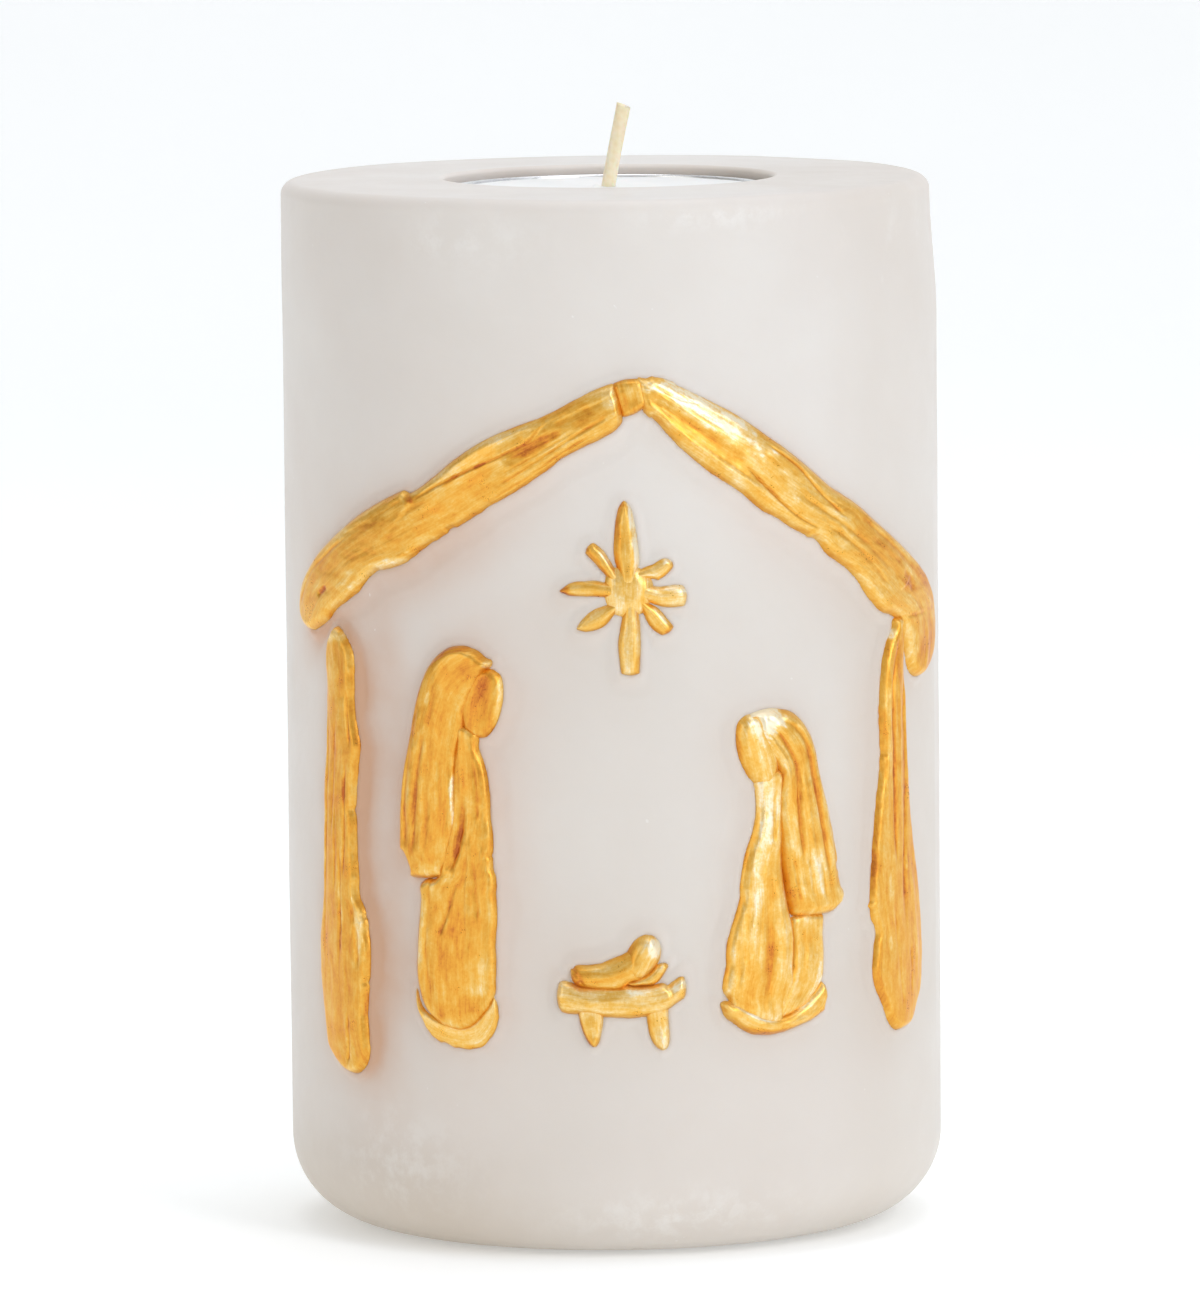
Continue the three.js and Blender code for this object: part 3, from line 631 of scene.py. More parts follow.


# Each recipe: thick is the height over the pillar's face; shoulder, the rounding of the edge; crown,
# how far the edges lie below the middle; left and right, how far the edges go beyond the CAD node's, as
# (along, outward), with grow for both, reach past the ends, blunt for their breadth and round for their
# rounding; rag, the unevenness of both edges; lines and lumps, that along and all over; strokes,
# [places], width and height of ridges and grooves; laps, the same for the raised edges of folds; nicks,
# (along, half length, outward); steps, (along, outward, reach); tone, how pale the gilding is, set lower
# on the left-hand pieces as painted shade; and the patches, (place), (reach, spread), amount, paler or
# deeper, many of them painted highlights and painted shade. Along and side are in hundredths, and
# lengths in millimetres.
RECIPES = {
    "left_rafter": dict(
        direction=EASTWARD, thick=1.4, shoulder=1.1, grow=0.12, rag=(0.04, 0.1), tone=0.5, blunt=(0.3, 0.2),
        left_steps=[(50.7, -0.75, 4.5)], lumps=0.09,
        right_nicks=[(53, 0.9, -0.25), (30, 0.8, -0.2), (36, 3, 0.15)],
        laps=[([(50.7, 32), (50.7, 15), (50.7, -5)], 2.2, 0.24)],
        strokes=[
            ([(50.5, 26), (55, 22), (66, 32), (73, 38), (79, 36), (83, 19), (86, 4)], 0.17, -0.34),
            ([(63, 92), (74, 90), (84, 88), (94, 78)], 0.15, -0.22),
            ([(66, 78), (78, 74), (88, 68), (97, 62)], 0.16, -0.24),
            ([(70, 66), (80, 63), (90, 56)], 0.14, -0.16), ([(72, 53), (80, 48), (87, 45)], 0.6, -0.2),
            ([(84, 30), (90, 28), (97, 30)], 0.3, -0.14),
            ([(6, 20), (14, 20), (24, 22), (33, 24)], 0.2, -0.12), ([(13, 60), (17, 60)], 0.3, -0.25),
            ([(24, 55), (36, 60), (48, 64)], 0.3, -0.08), ([(97.5, 5), (98, 50), (97.5, 95)], 0.4, 0.16),
        ],
        tone_patches_and_painted_light=[
            ((80, 48), (3.6, 0.75), -0.36), ((68, 13), (9, 0.95), 0.17), ((30, 45), (10, 2.4), -0.07),
            ((15.5, 59), (1, 0.4), -0.42), ((6, 60), (3, 1.4), 0.1), ((31, 93), (5.5, 0.8), 0.2),
            ((22, 75), (2, 0.9), 0.14), ((61, 30), (1.2, 0.3), -0.3), ((68, 35), (0.8, 0.25), -0.28),
            ((50.7, 20), (0.5, 0.8), -0.24), ((97.5, 30), (1, 1.6), 0.2), ((93, 50), (2.2, 0.9), -0.16),
            ((12, 12), (4, 0.6), 0.12), ((90, 15), (3, 0.5), -0.1), ((40, 35), (3, 0.9), -0.07),
        ],
    ),
    "ridge_wedge": dict(
        thick=1.25, shoulder=0.9, tone=0.44, reach=(0.1, 0.5), grow=1.3, lumps=0.14, round=(0.5, 0.5),
        strokes=[([(10, 20), (50, 22), (95, 24)], 0.2, -0.3)], tone_patches_and_painted_light=[((60, 45), (1, 0.5), 0.2)],
    ),
    "right_rafter": dict(
        direction=EASTWARD, thick=1.5, shoulder=1.15, grow=0.12, rag=(0.04, 0.06), tone=0.56,
        blunt=(0.5, 0.3), reach=(0.5, 0), lumps=0.08, left_nicks=[(3, 0.5, 0.15), (7, 0.5, 0.12)],
        right_nicks=[(48.5, 0.7, 0.2), (2, 0.6, 0.25)],
        laps=[([(74, 62), (73.5, 45), (72, 30)], 1.6, 0.12)],
        strokes=[
            ([(2, 0), (10, 0), (20, 0), (32, 0)], 1.5, -0.5),
            ([(-2, 50), (5, 54), (12, 56), (20, 58), (27, 60)], 0.85, -0.26),
            ([(0, 62), (8, 79), (18, 79), (26, 80), (34, 76)], 0.42, 0.26),
            ([(25, 60), (33, 70), (41, 79), (48, 80)], 0.14, -0.3),
            ([(26, 14), (35, 15), (42, 26), (50, 39)], 0.15, -0.28),
            ([(36, 50), (48, 50), (60, 50), (70, 52)], 0.3, -0.12),
            ([(46, 62), (58, 64), (72, 70)], 0.3, -0.1), ([(52, 22), (62, 20), (72, 22)], 0.35, -0.1),
            ([(3, 16), (8, 26), (13, 14)], 0.14, -0.12), ([(10, 34), (17, 36), (22, 30)], 0.12, -0.1),
            ([(70, 36), (74.5, 40), (77, 50)], 0.5, -0.16),
            ([(82.2, 95), (83.5, 66), (84, 40)], 0.22, -0.1), ([(85, 50), (90, 45), (96, 50)], 0.5, 0.1),
        ],
        tone_patches_and_painted_light=[
            ((14, 20), (8.5, 1.7), 0.34), ((10, 16), (4.5, 1.2), 0.16), ((14, 56), (5, 0.6), -0.08),
            ((74.5, 42), (2.2, 1.2), -0.24), ((77.5, 16), (5, 1.1), -0.28), ((83, 60), (0.7, 2.2), -0.16),
            ((40, 90), (8, 0.9), -0.04), ((60, 6), (9, 0.7), -0.1), ((50, 50), (8, 1.5), 0.05),
            ((62, 40), (7, 2.2), -0.16), ((1, 60), (1.4, 0.9), -0.12), ((35, 45), (5, 1.4), 0.1),
            ((92, 40), (5, 3), -0.23), ((50, 75), (6, 0.8), 0.08),
        ],
    ),
    "left_post": dict(
        thick=1.25, shoulder=0.95, lines=0.06, lumps=0.06, rag=(0.03, 0.12), tone=0.42, blunt=(0.6, 0.5),
        grow=0.08, round=(1.2, 1), left=[(0, 0.6), (10, 0.3), (30, 0.3), (45, 0.05), (100, 0)],
        right=[(0, -0.1), (30, -0.25), (85, -0.3), (100, -0.6)],
        right_nicks=[(59, 0.5, -0.25), (30, 4.5, 0.25), (70, 3, 0.15), (36, 0.4, -0.2), (22, 0.4, -0.18)],
        strokes=[
            ([(85, 86), (80, 84), (72, 86)], 0.18, -0.16),
            ([(70, 75), (62, 76), (52, 74), (44, 70)], 0.15, -0.24),
            ([(52, 62), (42, 62), (33, 56), (26, 52)], 0.15, -0.24),
            ([(62, 50), (50, 48), (40, 46)], 0.15, -0.14),
            ([(92, 20), (70, 20), (50, 18), (25, 18)], 0.22, -0.14),
            ([(40, 86), (32, 84), (24, 86)], 0.35, -0.2), ([(16, 66), (10, 64), (3, 52)], 0.18, -0.2),
            ([(80, 50), (66, 42), (52, 36)], 0.2, -0.1), ([(42, 100), (33, 100), (25, 100)], 0.25, 0.2),
        ],
        tone_patches_and_painted_light=[
            ((98.5, 50), (2, 3), 0.22), ((60, 6), (18, 0.6), 0.13), ((55, 40), (18, 1), -0.04),
            ((33, 88), (3.2, 0.7), 0.3), ((30, 78), (1.6, 0.5), -0.24), ((6, 66), (3, 1.1), 0.12),
            ((17, 100), (1.3, 0.4), -0.24), ((64, 74), (1.2, 0.3), -0.24), ((30, 4), (9, 0.5), -0.1),
            ((39, 60), (2.5, 0.2), 0.24), ((88, 45), (5, 1.2), 0.1), ((72, 98), (4, 0.3), -0.12),
            ((20, 30), (4, 1), 0.07),
        ],
    ),
    "right_post": dict(
        thick=1.25, shoulder=0.95, lines=0.05, lumps=0.05, rag=(0.09, 0.03), tone=0.43, grow=0.08,
        blunt=(0.6, 0.3), reach=(0, 1.3), left=[(0, -0.1), (50, -0.25), (85, -0.4), (100, 0)],
        right=[(0, 0), (90, 0.1), (100, 1.2)], round=(1.2, 0.6),
        left_nicks=[(33, 0.4, 0.55), (27, 1.4, -0.3), (68, 0.8, -0.2)],
        strokes=[
            ([(96, 42), (84, 36), (70, 36), (56, 40), (40, 44)], 0.3, -0.34),
            ([(90, 78), (72, 76), (55, 70), (40, 60), (26, 54)], 0.34, -0.26),
            ([(90, 20), (70, 18), (50, 22)], 0.3, 0.16), ([(88, 58), (70, 56), (50, 55)], 0.28, 0.12),
            ([(42, 75), (28, 77), (15, 82)], 0.45, 0.14), ([(34, 36), (20, 40), (8, 46)], 0.2, -0.1),
            ([(24, 62), (18, 66), (12, 66)], 0.22, -0.12), ([(84, 92), (60, 90), (40, 90)], 0.16, -0.14),
        ],
        tone_patches_and_painted_light=[
            ((64, 37), (9, 0.3), -0.16), ((52, 68), (11, 0.5), -0.14), ((60, 20), (15, 0.5), 0.13),
            ((40, 30), (7, 0.6), 0.1), ((45, 92), (12, 0.45), -0.12), ((20, 8), (5, 0.3), -0.14),
            ((38, 31), (1.3, 0.45), 0.2), ((43, 65), (0.9, 0.3), 0.26), ((24, 23), (0.8, 0.4), 0.2),
            ((27, 76), (4, 0.6), 0.13), ((77, 95), (6, 0.3), -0.18), ((45, 4), (5, 0.3), -0.16),
            ((12, 6), (3, 0.5), -0.14), ((96, 10), (0.8, 0.4), 0.4), ((86, 60), (3, 0.5), -0.12),
        ],
    ),
    "left_figure_robe": dict(
        thick=1.2, shoulder=0.95, lines=0.05, lumps=0.08, rag=(0.03, 0.05), tone=0.45, reach=(0, 2.4),
        grow=0.08, left=[(0, 0), (30, 0.1), (48, 0.4), (56, 1.6), (66, 1.8), (80, 1.2), (100, 1.2)],
        right=[(0, 0), (90, 0), (100, 0.5)], right_nicks=[(52, 1.8, 0.2), (60, 0.4, -0.15)],
        strokes=[
            ([(80, 34), (72, 36), (64, 34), (55, 24)], 0.45, -0.42),
            ([(70, 50), (60, 60), (48, 66), (34, 68), (24, 64)], 0.16, 0.2),
            ([(52, 50), (46, 48), (40, 40), (33, 32)], 0.2, -0.22),
            ([(64, 80), (58, 82), (50, 84)], 0.16, 0.14), ([(60, 68), (50, 76), (38, 80)], 0.2, -0.16),
            ([(90, 72), (80, 72), (70, 72)], 0.2, -0.16), ([(40, 14), (28, 16), (16, 20)], 0.25, -0.08),
            ([(98, 94), (80, 95), (62, 95)], 0.22, 0.18),
        ],
        tone_patches_and_painted_light=[
            ((66, 34), (3.2, 0.55), -0.2), ((50, 25), (3, 1), 0.12), ((36, 8), (6, 0.8), 0.2),
            ((24, 85), (3.4, 0.8), 0.16), ((30, 45), (7, 0.5), -0.12), ((22, 78), (2.4, 1.5), 0.1),
            ((13, 64), (1.6, 1.1), -0.14), ((42, 56), (6, 0.6), -0.13), ((85, 72), (4, 0.8), -0.16),
            ((50, 97), (2.2, 0.5), -0.18), ((12, 28), (1.6, 0.6), -0.14), ((33, 36), (3, 0.5), -0.12),
            ((6, 40), (1.5, 2), 0.06),
        ],
    ),
    "left_figure_face": dict(
        thick=1.1, shoulder=1.1, crown=0.2, lines=0, lumps=0.05, rag=(0.02, 0.02), scale=1.06, tone=0.29,
        left=[(0, 1), (50, 2), (100, 1)], tone_patches_and_painted_light=[((60, 95), (3.4, 0.45), 0.36), ((70, 50), (2, 0.8), -0.12)],
    ),
    "left_figure_veil": dict(
        thick=1.65, shoulder=1, lines=0.05, lumps=0.08, rag=(0.03, 0.04), tone=0.43, reach=(0.8, 0.5),
        grow=0.06, left=[(0, 0.7), (9, 0.1), (100, 0)], left_steps=[(10, -0.35, -3)], blunt=(0.4, 0),
        round=(0.4, 0.5), right=[(0, 0.4), (12, 0.1), (50, 0.05), (70, 0.25), (85, 0.5), (100, 0.5)],
        strokes=[
            ([(66, 10), (50, 12), (30, 14), (10, 20)], 0.3, -0.22),
            ([(56, 34), (40, 34), (25, 34), (10, 36)], 0.26, -0.22),
            ([(34, 55), (22, 56), (10, 55)], 0.25, -0.12), ([(52, 70), (40, 74), (28, 76)], 0.25, -0.1),
            ([(62, 97), (45, 93), (28, 92), (16, 92)], 0.3, 0.22),
            ([(72, -2), (80, 8), (87, 10), (93, 4)], 0.16, -0.2),
            ([(60, 93), (72, 90), (84, 86)], 0.22, -0.14), ([(62, 100), (76, 100), (90, 96)], 0.25, 0.2),
        ],
        tone_patches_and_painted_light=[
            ((60, 50), (9, 2), -0.04), ((36, 95), (4.5, 0.35), 0.4), ((50, 8), (8, 0.5), -0.08),
            ((66, 28), (0.9, 0.45), 0.3), ((4, 65), (1.2, 1.2), 0.16), ((84, 8), (3, 0.3), -0.18),
            ((98, 60), (0.8, 0.6), 0.3), ((45, 45), (6, 0.6), 0.06), ((90, 50), (2.6, 0.8), -0.1),
            ((25, 30), (6, 0.9), -0.15), ((78, 95), (4, 0.4), -0.2),
        ],
    ),
    "left_figure_hem": dict(
        direction=EASTWARD, thick=0.75, shoulder=0.6, lines=0.02, rag=(0.03, 0.3), tone=0.6, grow=0.05,
        reach=(0.2, 0.3), left=[(0, 0.3), (50, 1.5), (100, 1)],
        right=[(0, 0.2), (30, 0.5), (60, 0.15), (90, 0.5), (100, 0.2)], blunt=(0, 0.5),
        tone_patches_and_painted_light=[((80, 60), (2, 0.8), -0.08)],
    ),
    "right_figure_robe": dict(
        thick=1.3, shoulder=1, lines=0.04, lumps=0.09, rag=(0.05, 0.03), tone=0.61, reach=(1.5, 2.7),
        grow=0.06, left=[(0, 0.4), (30, 0.3), (60, 0.1), (85, 0.2), (100, 1)], round=(0.8, 2),
        right=[(0, 1.4), (12, 1), (40, 0.9), (60, 0.6), (85, 1.2), (100, 2)],
        strokes=[
            ([(58, 54), (44, 53), (30, 55), (18, 58), (6, 62)], 0.8, -0.34),
            ([(62, 78), (48, 74), (34, 76), (18, 78)], 0.4, 0.14),
            ([(92, 62), (80, 60), (70, 64)], 0.26, -0.16), ([(60, 30), (45, 30), (30, 28)], 0.45, 0.1),
            ([(80, 14), (60, 10), (40, 10)], 0.3, -0.12), ([(55, 44), (40, 40), (22, 40)], 0.2, -0.08),
            ([(30, 16), (20, 18), (10, 20)], 0.25, -0.08), ([(60, 100), (40, 98), (16, 96)], 0.3, -0.3),
        ],
        tone_patches_and_painted_light=[
            ((86, 40), (5, 1.4), 0.2), ((60, 34), (8, 0.8), 0.16), ((40, 4), (7, 0.4), -0.1),
            ((35, 25), (4, 0.8), 0.07), ((30, 97), (5, 0.3), -0.2), ((22, 55), (5, 1.2), -0.1),
            ((12, 30), (3.5, 1.2), -0.1),
        ],
    ),
    "right_figure_face": dict(
        thick=1.42, shoulder=1.3, crown=0.2, lines=0, lumps=0.05, rag=(0.02, 0.02), scale=1.06, tone=0.59,
        shift=(0.7, -0.3), left=[(0, 0), (50, 0.1), (100, 0)], right=[(0, 0.8), (50, 1.2), (100, 0.8)],
        tone_patches_and_painted_light=[((75, 55), (2.2, 0.7), 0.3), ((70, 3), (2.4, 0.4), -0.16), ((25, 60), (1.6, 1), -0.05)],
    ),
    "right_figure_train": dict(
        thick=1.1, shoulder=0.9, lines=0.03, lumps=0.12, rag=(0.03, 0.06), tone=0.62, reach=(1.5, 0.9),
        grow=0.1, left=[(0, 1.4), (100, 0.6)], right=[(0, 0.9), (50, 0.5), (100, 0.3)],
        tone_patches_and_painted_light=[((30, 80), (2.4, 0.6), 0.2), ((60, 12), (4, 0.4), -0.24)],
        strokes=[
            ([(90, 30), (60, 36), (30, 36)], 0.26, -0.14), ([(50, 70), (30, 78), (10, 86)], 0.25, 0.14),
        ],
    ),
    "right_figure_veil": dict(
        thick=1.7, shoulder=1.1, lines=0.05, lumps=0.12, rag=(0.04, 0.06), tone=0.58,
        reach=(0.5, (-1.5, -0.3)), grow=0.06,
        left=[(0, 0.15), (40, 0.3), (62, 0.9), (75, 0.7), (90, 0.8), (100, 0.5)], round=(0.5, 1.1),
        right_nicks=[(10, 1, 0.35), (20, 0.7, -0.15)], left_nicks=[(3, 0.6, 0.15)],
        strokes=[
            ([(93, 36), (82, 42), (66, 38), (45, 36), (22, 32)], 0.3, -0.32),
            ([(90, 74), (75, 76), (55, 74), (35, 74), (14, 74)], 0.3, -0.32),
            ([(60, 54), (45, 52), (25, 50), (10, 52)], 0.28, 0.16),
            ([(30, 14), (20, 16), (8, 16)], 0.25, -0.2), ([(44, 90), (28, 90), (10, 88)], 0.2, -0.2),
            ([(90, 16), (80, 22), (68, 20), (56, 18)], 0.32, 0.22),
            ([(97, 50), (90, 54), (84, 56)], 0.25, -0.14),
            ([(100, 100), (92, 100), (84, 100), (76, 100)], 1.3, -0.45),
            ([(76, 2), (66, 6), (50, 8)], 0.3, -0.24), ([(2, 20), (4, 50), (3, 90)], 0.25, -0.16),
            ([(28, 42), (20, 42), (10, 40)], 0.18, -0.18), ([(26, 62), (18, 62), (8, 60)], 0.18, -0.18),
        ],
        tone_patches_and_painted_light=[
            ((93, 45), (3.2, 2.8), 0.6), ((62, 55), (4, 0.9), -0.08), ((55, 76), (8, 0.5), -0.2),
            ((20, 50), (3, 1.3), 0.16), ((80, 34), (3, 0.4), 0.16), ((45, 30), (6, 0.5), -0.12),
            ((68, 6), (2.4, 0.5), -0.36), ((40, 55), (4, 0.9), -0.08), ((9, 12), (1.6, 0.8), -0.18),
            ((80, 92), (4, 0.4), -0.1), ((8, 88), (1.4, 0.7), 0.1), ((76, 40), (5, 0.35), -0.14),
        ],
    ),
    "right_figure_hem": dict(
        direction=EASTWARD, thick=1.5, shoulder=0.85, crown=0.35, lines=0.02, lumps=0.07, rag=(0.03, 0.1),
        tone=0.58, grow=0.1, left=[(0, 0.2), (20, 0.6), (50, 0.8), (80, 0.7), (100, 0.5)],
        right_nicks=[(86, 0.7, 0.2)], blunt=(0.2, 0.4),
        strokes=[([(8, 20), (25, 22), (42, 20)], 0.3, 0.12), ([(62, 40), (78, 50), (92, 50)], 0.2, -0.14)],
        tone_patches_and_painted_light=[((30, 20), (4, 0.4), 0.22), ((30, 85), (5, 0.4), -0.12), ((80, 20), (3, 0.5), 0.14)],
    ),
    "manger_left_leg": dict(
        thick=0.95, shoulder=0.6, rag=(0.02, 0.02), tone=0.62, reach=(0.2, 1.6), lines=0.02, grow=0.14,
        lumps=0.12,
        tone_patches_and_painted_light=[((10, 50), (1.1, 1), -0.14), ((30, 3), (2, 0.3), -0.24), ((60, 50), (0.8, 0.5), -0.14)],
    ),
    "manger_right_leg": dict(
        thick=0.95, shoulder=0.7, rag=(0.05, 0.05), tone=0.66, reach=(0.2, 1.6), lines=0.02, grow=0.26,
        blunt=(0.1, 0.3), lumps=0.12, tone_patches_and_painted_light=[((60, 85), (1.2, 0.4), 0.16)],
    ),
    "infant_body": dict(
        direction=EASTWARD, thick=1.35, shoulder=0.9, crown=0.35, lines=0.02, rag=(0.05, 0.03), tone=0.5,
        reach=(0.2, 2.2), blunt=(0.7, 0), left_nicks=[(3, 0.35, 0.3), (10, 0.3, -0.2)],
        left=[(0, 0), (50, 0.1), (70, 0.7), (100, 1.5)], lumps=0.12, right=[(0, 0.45), (50, 0.9), (100, 1)],
        strokes=[
            ([(10, 10), (14, 50), (18, 90)], 0.18, -0.26), ([(30, 60), (50, 64), (75, 70)], 0.22, -0.12),
        ],
        tone_patches_and_painted_light=[
            ((9, 45), (0.9, 1.1), -0.34), ((2, 20), (0.5, 0.4), 0.3), ((50, 62), (2, 0.3), -0.1),
            ((60, 25), (2.6, 0.5), 0.16),
        ],
    ),
    "infant_pillow": dict(
        direction=EASTWARD, thick=1.1, shoulder=0.6, rag=(0.03, 0.03), tone=0.6, grow=0.15, lines=0.02,
        reach=(1, 0), left=[(0, 0.8), (50, 1.2), (100, 0.4)], blunt=(0, 0.3),
        tone_patches_and_painted_light=[((90, 70), (0.8, 0.5), 0.16)],
    ),
    "infant_head": dict(
        thick=1.65, shoulder=1.5, crown=0.25, lines=0, lumps=0.14, rag=(0.05, 0.05), tone=0.57, scale=1.12,
        tone_patches_and_painted_light=[((75, 70), (1.3, 0.9), 0.36), ((50, 12), (1.6, 0.5), -0.16), ((45, 35), (0.8, 0.5), -0.1)],
    ),
    "manger_bed": dict(
        direction=EASTWARD, thick=1.3, shoulder=0.9, crown=0.25, lines=0.04, lumps=0.2, rag=(0.14, 0.14),
        tone=0.63, blunt=(0.5, 1.2), left_nicks=[(83, 0.4, -0.25)],
        left=[(0, 0.2), (20, 0.3), (50, 0.5), (75, 0.4), (100, 0.2)],
        right=[(0, 0.2), (25, 0.6), (55, 0.9), (75, 0.9), (90, 0.3), (100, 0.1)],
        tone_patches_and_painted_light=[((12, 35), (2, 0.7), -0.06), ((94, 30), (1.2, 0.6), 0.26), ((62, 20), (1.4, 0.4), 0.16)],
        strokes=[
            ([(8, 20), (30, 24), (60, 22)], 0.3, -0.08), ([(82, 0), (85, 40), (86, 90)], 0.3, -0.22),
            ([(6, 60), (20, 66), (32, 60)], 0.5, 0.1),
        ],
    ),
    "star_ray_top": dict(
        thick=1.2, shoulder=1.1, crown=0.4, lines=0.03, rag=(0.05, 0.05), tone=0.56, reach=(2, 0.1),
        grow=0.24, lumps=0.1, blunt=(0.2, 0.3), round=(0.9, 1.1),
        tone_patches_and_painted_light=[((50, 85), (6, 0.45), 0.5), ((97, 40), (0.5, 0.5), -0.22), ((50, 15), (4, 0.5), -0.12)],
    ),
    "star_ray_bottom": dict(
        thick=1.1, shoulder=0.85, crown=0.2, lines=0.02, rag=(0.06, 0.06), tone=0.61, reach=(0.1, 2),
        grow=0.24, round=(0.3, 0.9), tone_patches_and_painted_light=[((12, 85), (1.6, 0.4), -0.26), ((55, 70), (2.4, 0.4), 0.1)],
    ),
    "star_ray_left": dict(
        direction=EASTWARD, thick=0.95, shoulder=0.7, crown=0.25, lines=0.02, rag=(0.08, 0.08), tone=0.57,
        grow=0.14, reach=(0.3, 2), blunt=(0.2, 0), round=(0.7, 0.9),
        tone_patches_and_painted_light=[((6, 40), (1, 0.6), -0.32), ((20, 90), (0.8, 0.3), -0.2)],
    ),
    "star_ray_right": dict(
        direction=EASTWARD, thick=1, shoulder=0.85, crown=0.25, lines=0.02, rag=(0.07, 0.07), tone=0.7,
        grow=0.28, reach=(2, 0), round=(0.9, 0.7), tone_patches_and_painted_light=[((80, 15), (1.6, 0.5), 0.36)],
    ),
    "star_ray_upper_left": dict(
        thick=0.95, shoulder=0.7, crown=0.3, lines=0.02, rag=(0.05, 0.05), tone=0.5, grow=0.36,
        reach=(2.4, 0.05), round=(0.8, 0.35),
        tone_patches_and_painted_light=[((60, 80), (1.5, 0.3), 0.3), ((80, 40), (1.2, 0.3), -0.2)],
    ),
    "star_ray_upper_right": dict(
        direction=EASTWARD, thick=0.9, shoulder=0.7, crown=0.25, lines=0.02, rag=(0.1, 0.1), tone=0.62,
        grow=0.3, reach=(2.6, 0), round=(0.8, 0.7), right_nicks=[(55, 0.3, 0.22)],
        tone_patches_and_painted_light=[((95, 30), (0.6, 0.5), 0.3)],
    ),
    "star_ray_lower_left": dict(
        direction=EASTWARD, thick=0.9, shoulder=0.8, crown=0.25, lines=0.03, rag=(0.05, 0.08), tone=0.62,
        grow=0.24, reach=(0.1, 2.6), round=(0.7, 0.8),
    ),
    "star_ray_lower_right": dict(
        direction=EASTWARD, thick=0.9, shoulder=0.7, crown=0.3, lines=0.02, rag=(0.03, 0.03), tone=0.54,
        grow=0.26, round=(0.8, 0.35), reach=(2.4, 0),
        tone_patches_and_painted_light=[((60, 20), (1.1, 0.3), 0.3), ((95, 40), (0.6, 0.6), -0.24)],
    ),
    "star_hub": dict(
        thick=1.2, shoulder=2.3, crown=0, lines=0, lumps=0.12, rag=(0.34, 0.34), tone=0.66, scale=2,
    ),
}


def build_relief():
    """Builds every strip, and gives them for the pillar to answer."""
    strips = []
    for number, (node, recipe) in enumerate(RECIPES.items(), start=3):
        strips.append(Strip(node, recipe, seed=10 * number))
        strips[-1].build(node)
    return strips


# ---- Pillar ----

RELIEF_CENTRE = (0.0, 58.0)
FRONT = (-76, 79)
RELIEF_BAND = 14, 112


class Surroundings:
    """How the pillar's face answers the relief on it: a low swell of wax on the inner flanks, and warm painted shade
    beside it.
    """

    def __init__(self, strips):
        self.strips = strips
        dense = []
        for strip in strips:
            steps = np.linalg.norm(np.diff(strip.rim, axis=0), axis=1)
            at = np.r_[0, np.cumsum(steps)]
            t = np.arange(0, at[-1], 0.12)
            dense.append(np.stack([np.interp(t, at, strip.rim[:, k]) for k in (0, 1)], 1))
        points = np.concatenate(dense)
        self.tree = KDTree(len(points))
        for i, (across, up) in enumerate(points):
            self.tree.insert((across, up, 0), i)
        self.tree.balance()

    def inside(self, places):
        """Which places lie under a strip: those inside its rim."""
        found = np.zeros(len(places), bool)
        for strip in self.strips:
            rim = strip.rim
            near = np.all((places > rim.min(0)) & (places < rim.max(0)), axis=1)
            x, y = places[near].T
            odd = np.zeros(len(x), bool)
            for (x0, y0), (x1, y1) in zip(rim[:-1], rim[1:]):
                if y0 != y1:
                    odd ^= ((y0 > y) != (y1 > y)) & (x < (x1 - x0) * (y - y0) / (y1 - y0) + x0)
            found[np.flatnonzero(near)[odd]] = True
        return found

    def nearest(self, places):
        """How far each place is from a rim, and how much it lies on the relief's inner side, from 0 to 1."""
        gaps, facing = np.zeros(len(places)), np.zeros(len(places))
        for i, place in enumerate(places):
            point, _, gaps[i] = self.tree.find((place[0], place[1], 0))
            if gaps[i] < 30:
                out = place - np.array(point[:2])
                inward = np.array(RELIEF_CENTRE) - place
                facing[i] = (out @ inward) / max(np.linalg.norm(out) * np.linalg.norm(inward), 1e-6)
        return gaps, 0.5 + 0.5 * np.clip(facing, -1, 1)

    def at(self, places):
        """The swell in millimetres, and the close and the wide warm painted shade from 0 to 1, at places on the
        unrolled face; the close one also holds the gilding smeared at the rim.
        """
        across, up = places.T
        gaps, inner = self.nearest(places)
        under = self.inside(places)
        reach = 0.8 + 1.1 * inner
        ripple = 1 + 0.25 * noise(across / 6, up / 6, 71)
        fillet = 0.30 * np.exp(-((gaps / (0.55 + 0.35 * inner)) ** 2))
        slope = 0.12 * (0.3 + 0.7 * inner) * (1 - smooth(0.5 * reach, reach * ripple, gaps))
        lip = 0.07 * inner * np.exp(-(((gaps - 1.5 * reach * ripple) / 0.3) ** 2))
        swell = np.where(under, 0.30 * (1 - smooth(0.0, 0.7, gaps)), fillet + slope + lip)
        # Painted shade, warm: stronger on the left, away from the light, and on the relief's inner side, and
        # reaching furthest beside the left post.
        shade = 0.26 + 0.74 * smooth(2, -27, across)
        beside_post = smooth(-22, -30, across) * smooth(78, 74, up)
        close = 0.55 * np.exp(-((gaps / (0.8 + 1.2 * inner)) ** 2)) * (0.4 + 0.6 * beside_post)
        close *= (0.25 + 0.75 * shade) * (0.25 + 0.75 * inner)
        smear = 0.08 * np.exp(-((gaps / 0.4) ** 2))
        wide = 1.05 * (1.3 * shade - 0.3) * (0.14 + 0.86 * inner) + 0.34 * inner * smooth(8, 20, across)
        wide *= beside_post * np.exp(-gaps / 4.6) + (1 - beside_post) * 0.52 * np.exp(-((gaps / 6) ** 2))
        return swell, np.where(under, 0.15, np.maximum(close, smear)), wide


def arc(out, up, radius, first, last, count):
    """Points on an arc round (out, up), between two angles in degrees."""
    angles = np.radians(np.linspace(first, last, count))
    return [(out + radius * math.cos(t), up + radius * math.sin(t)) for t in angles]


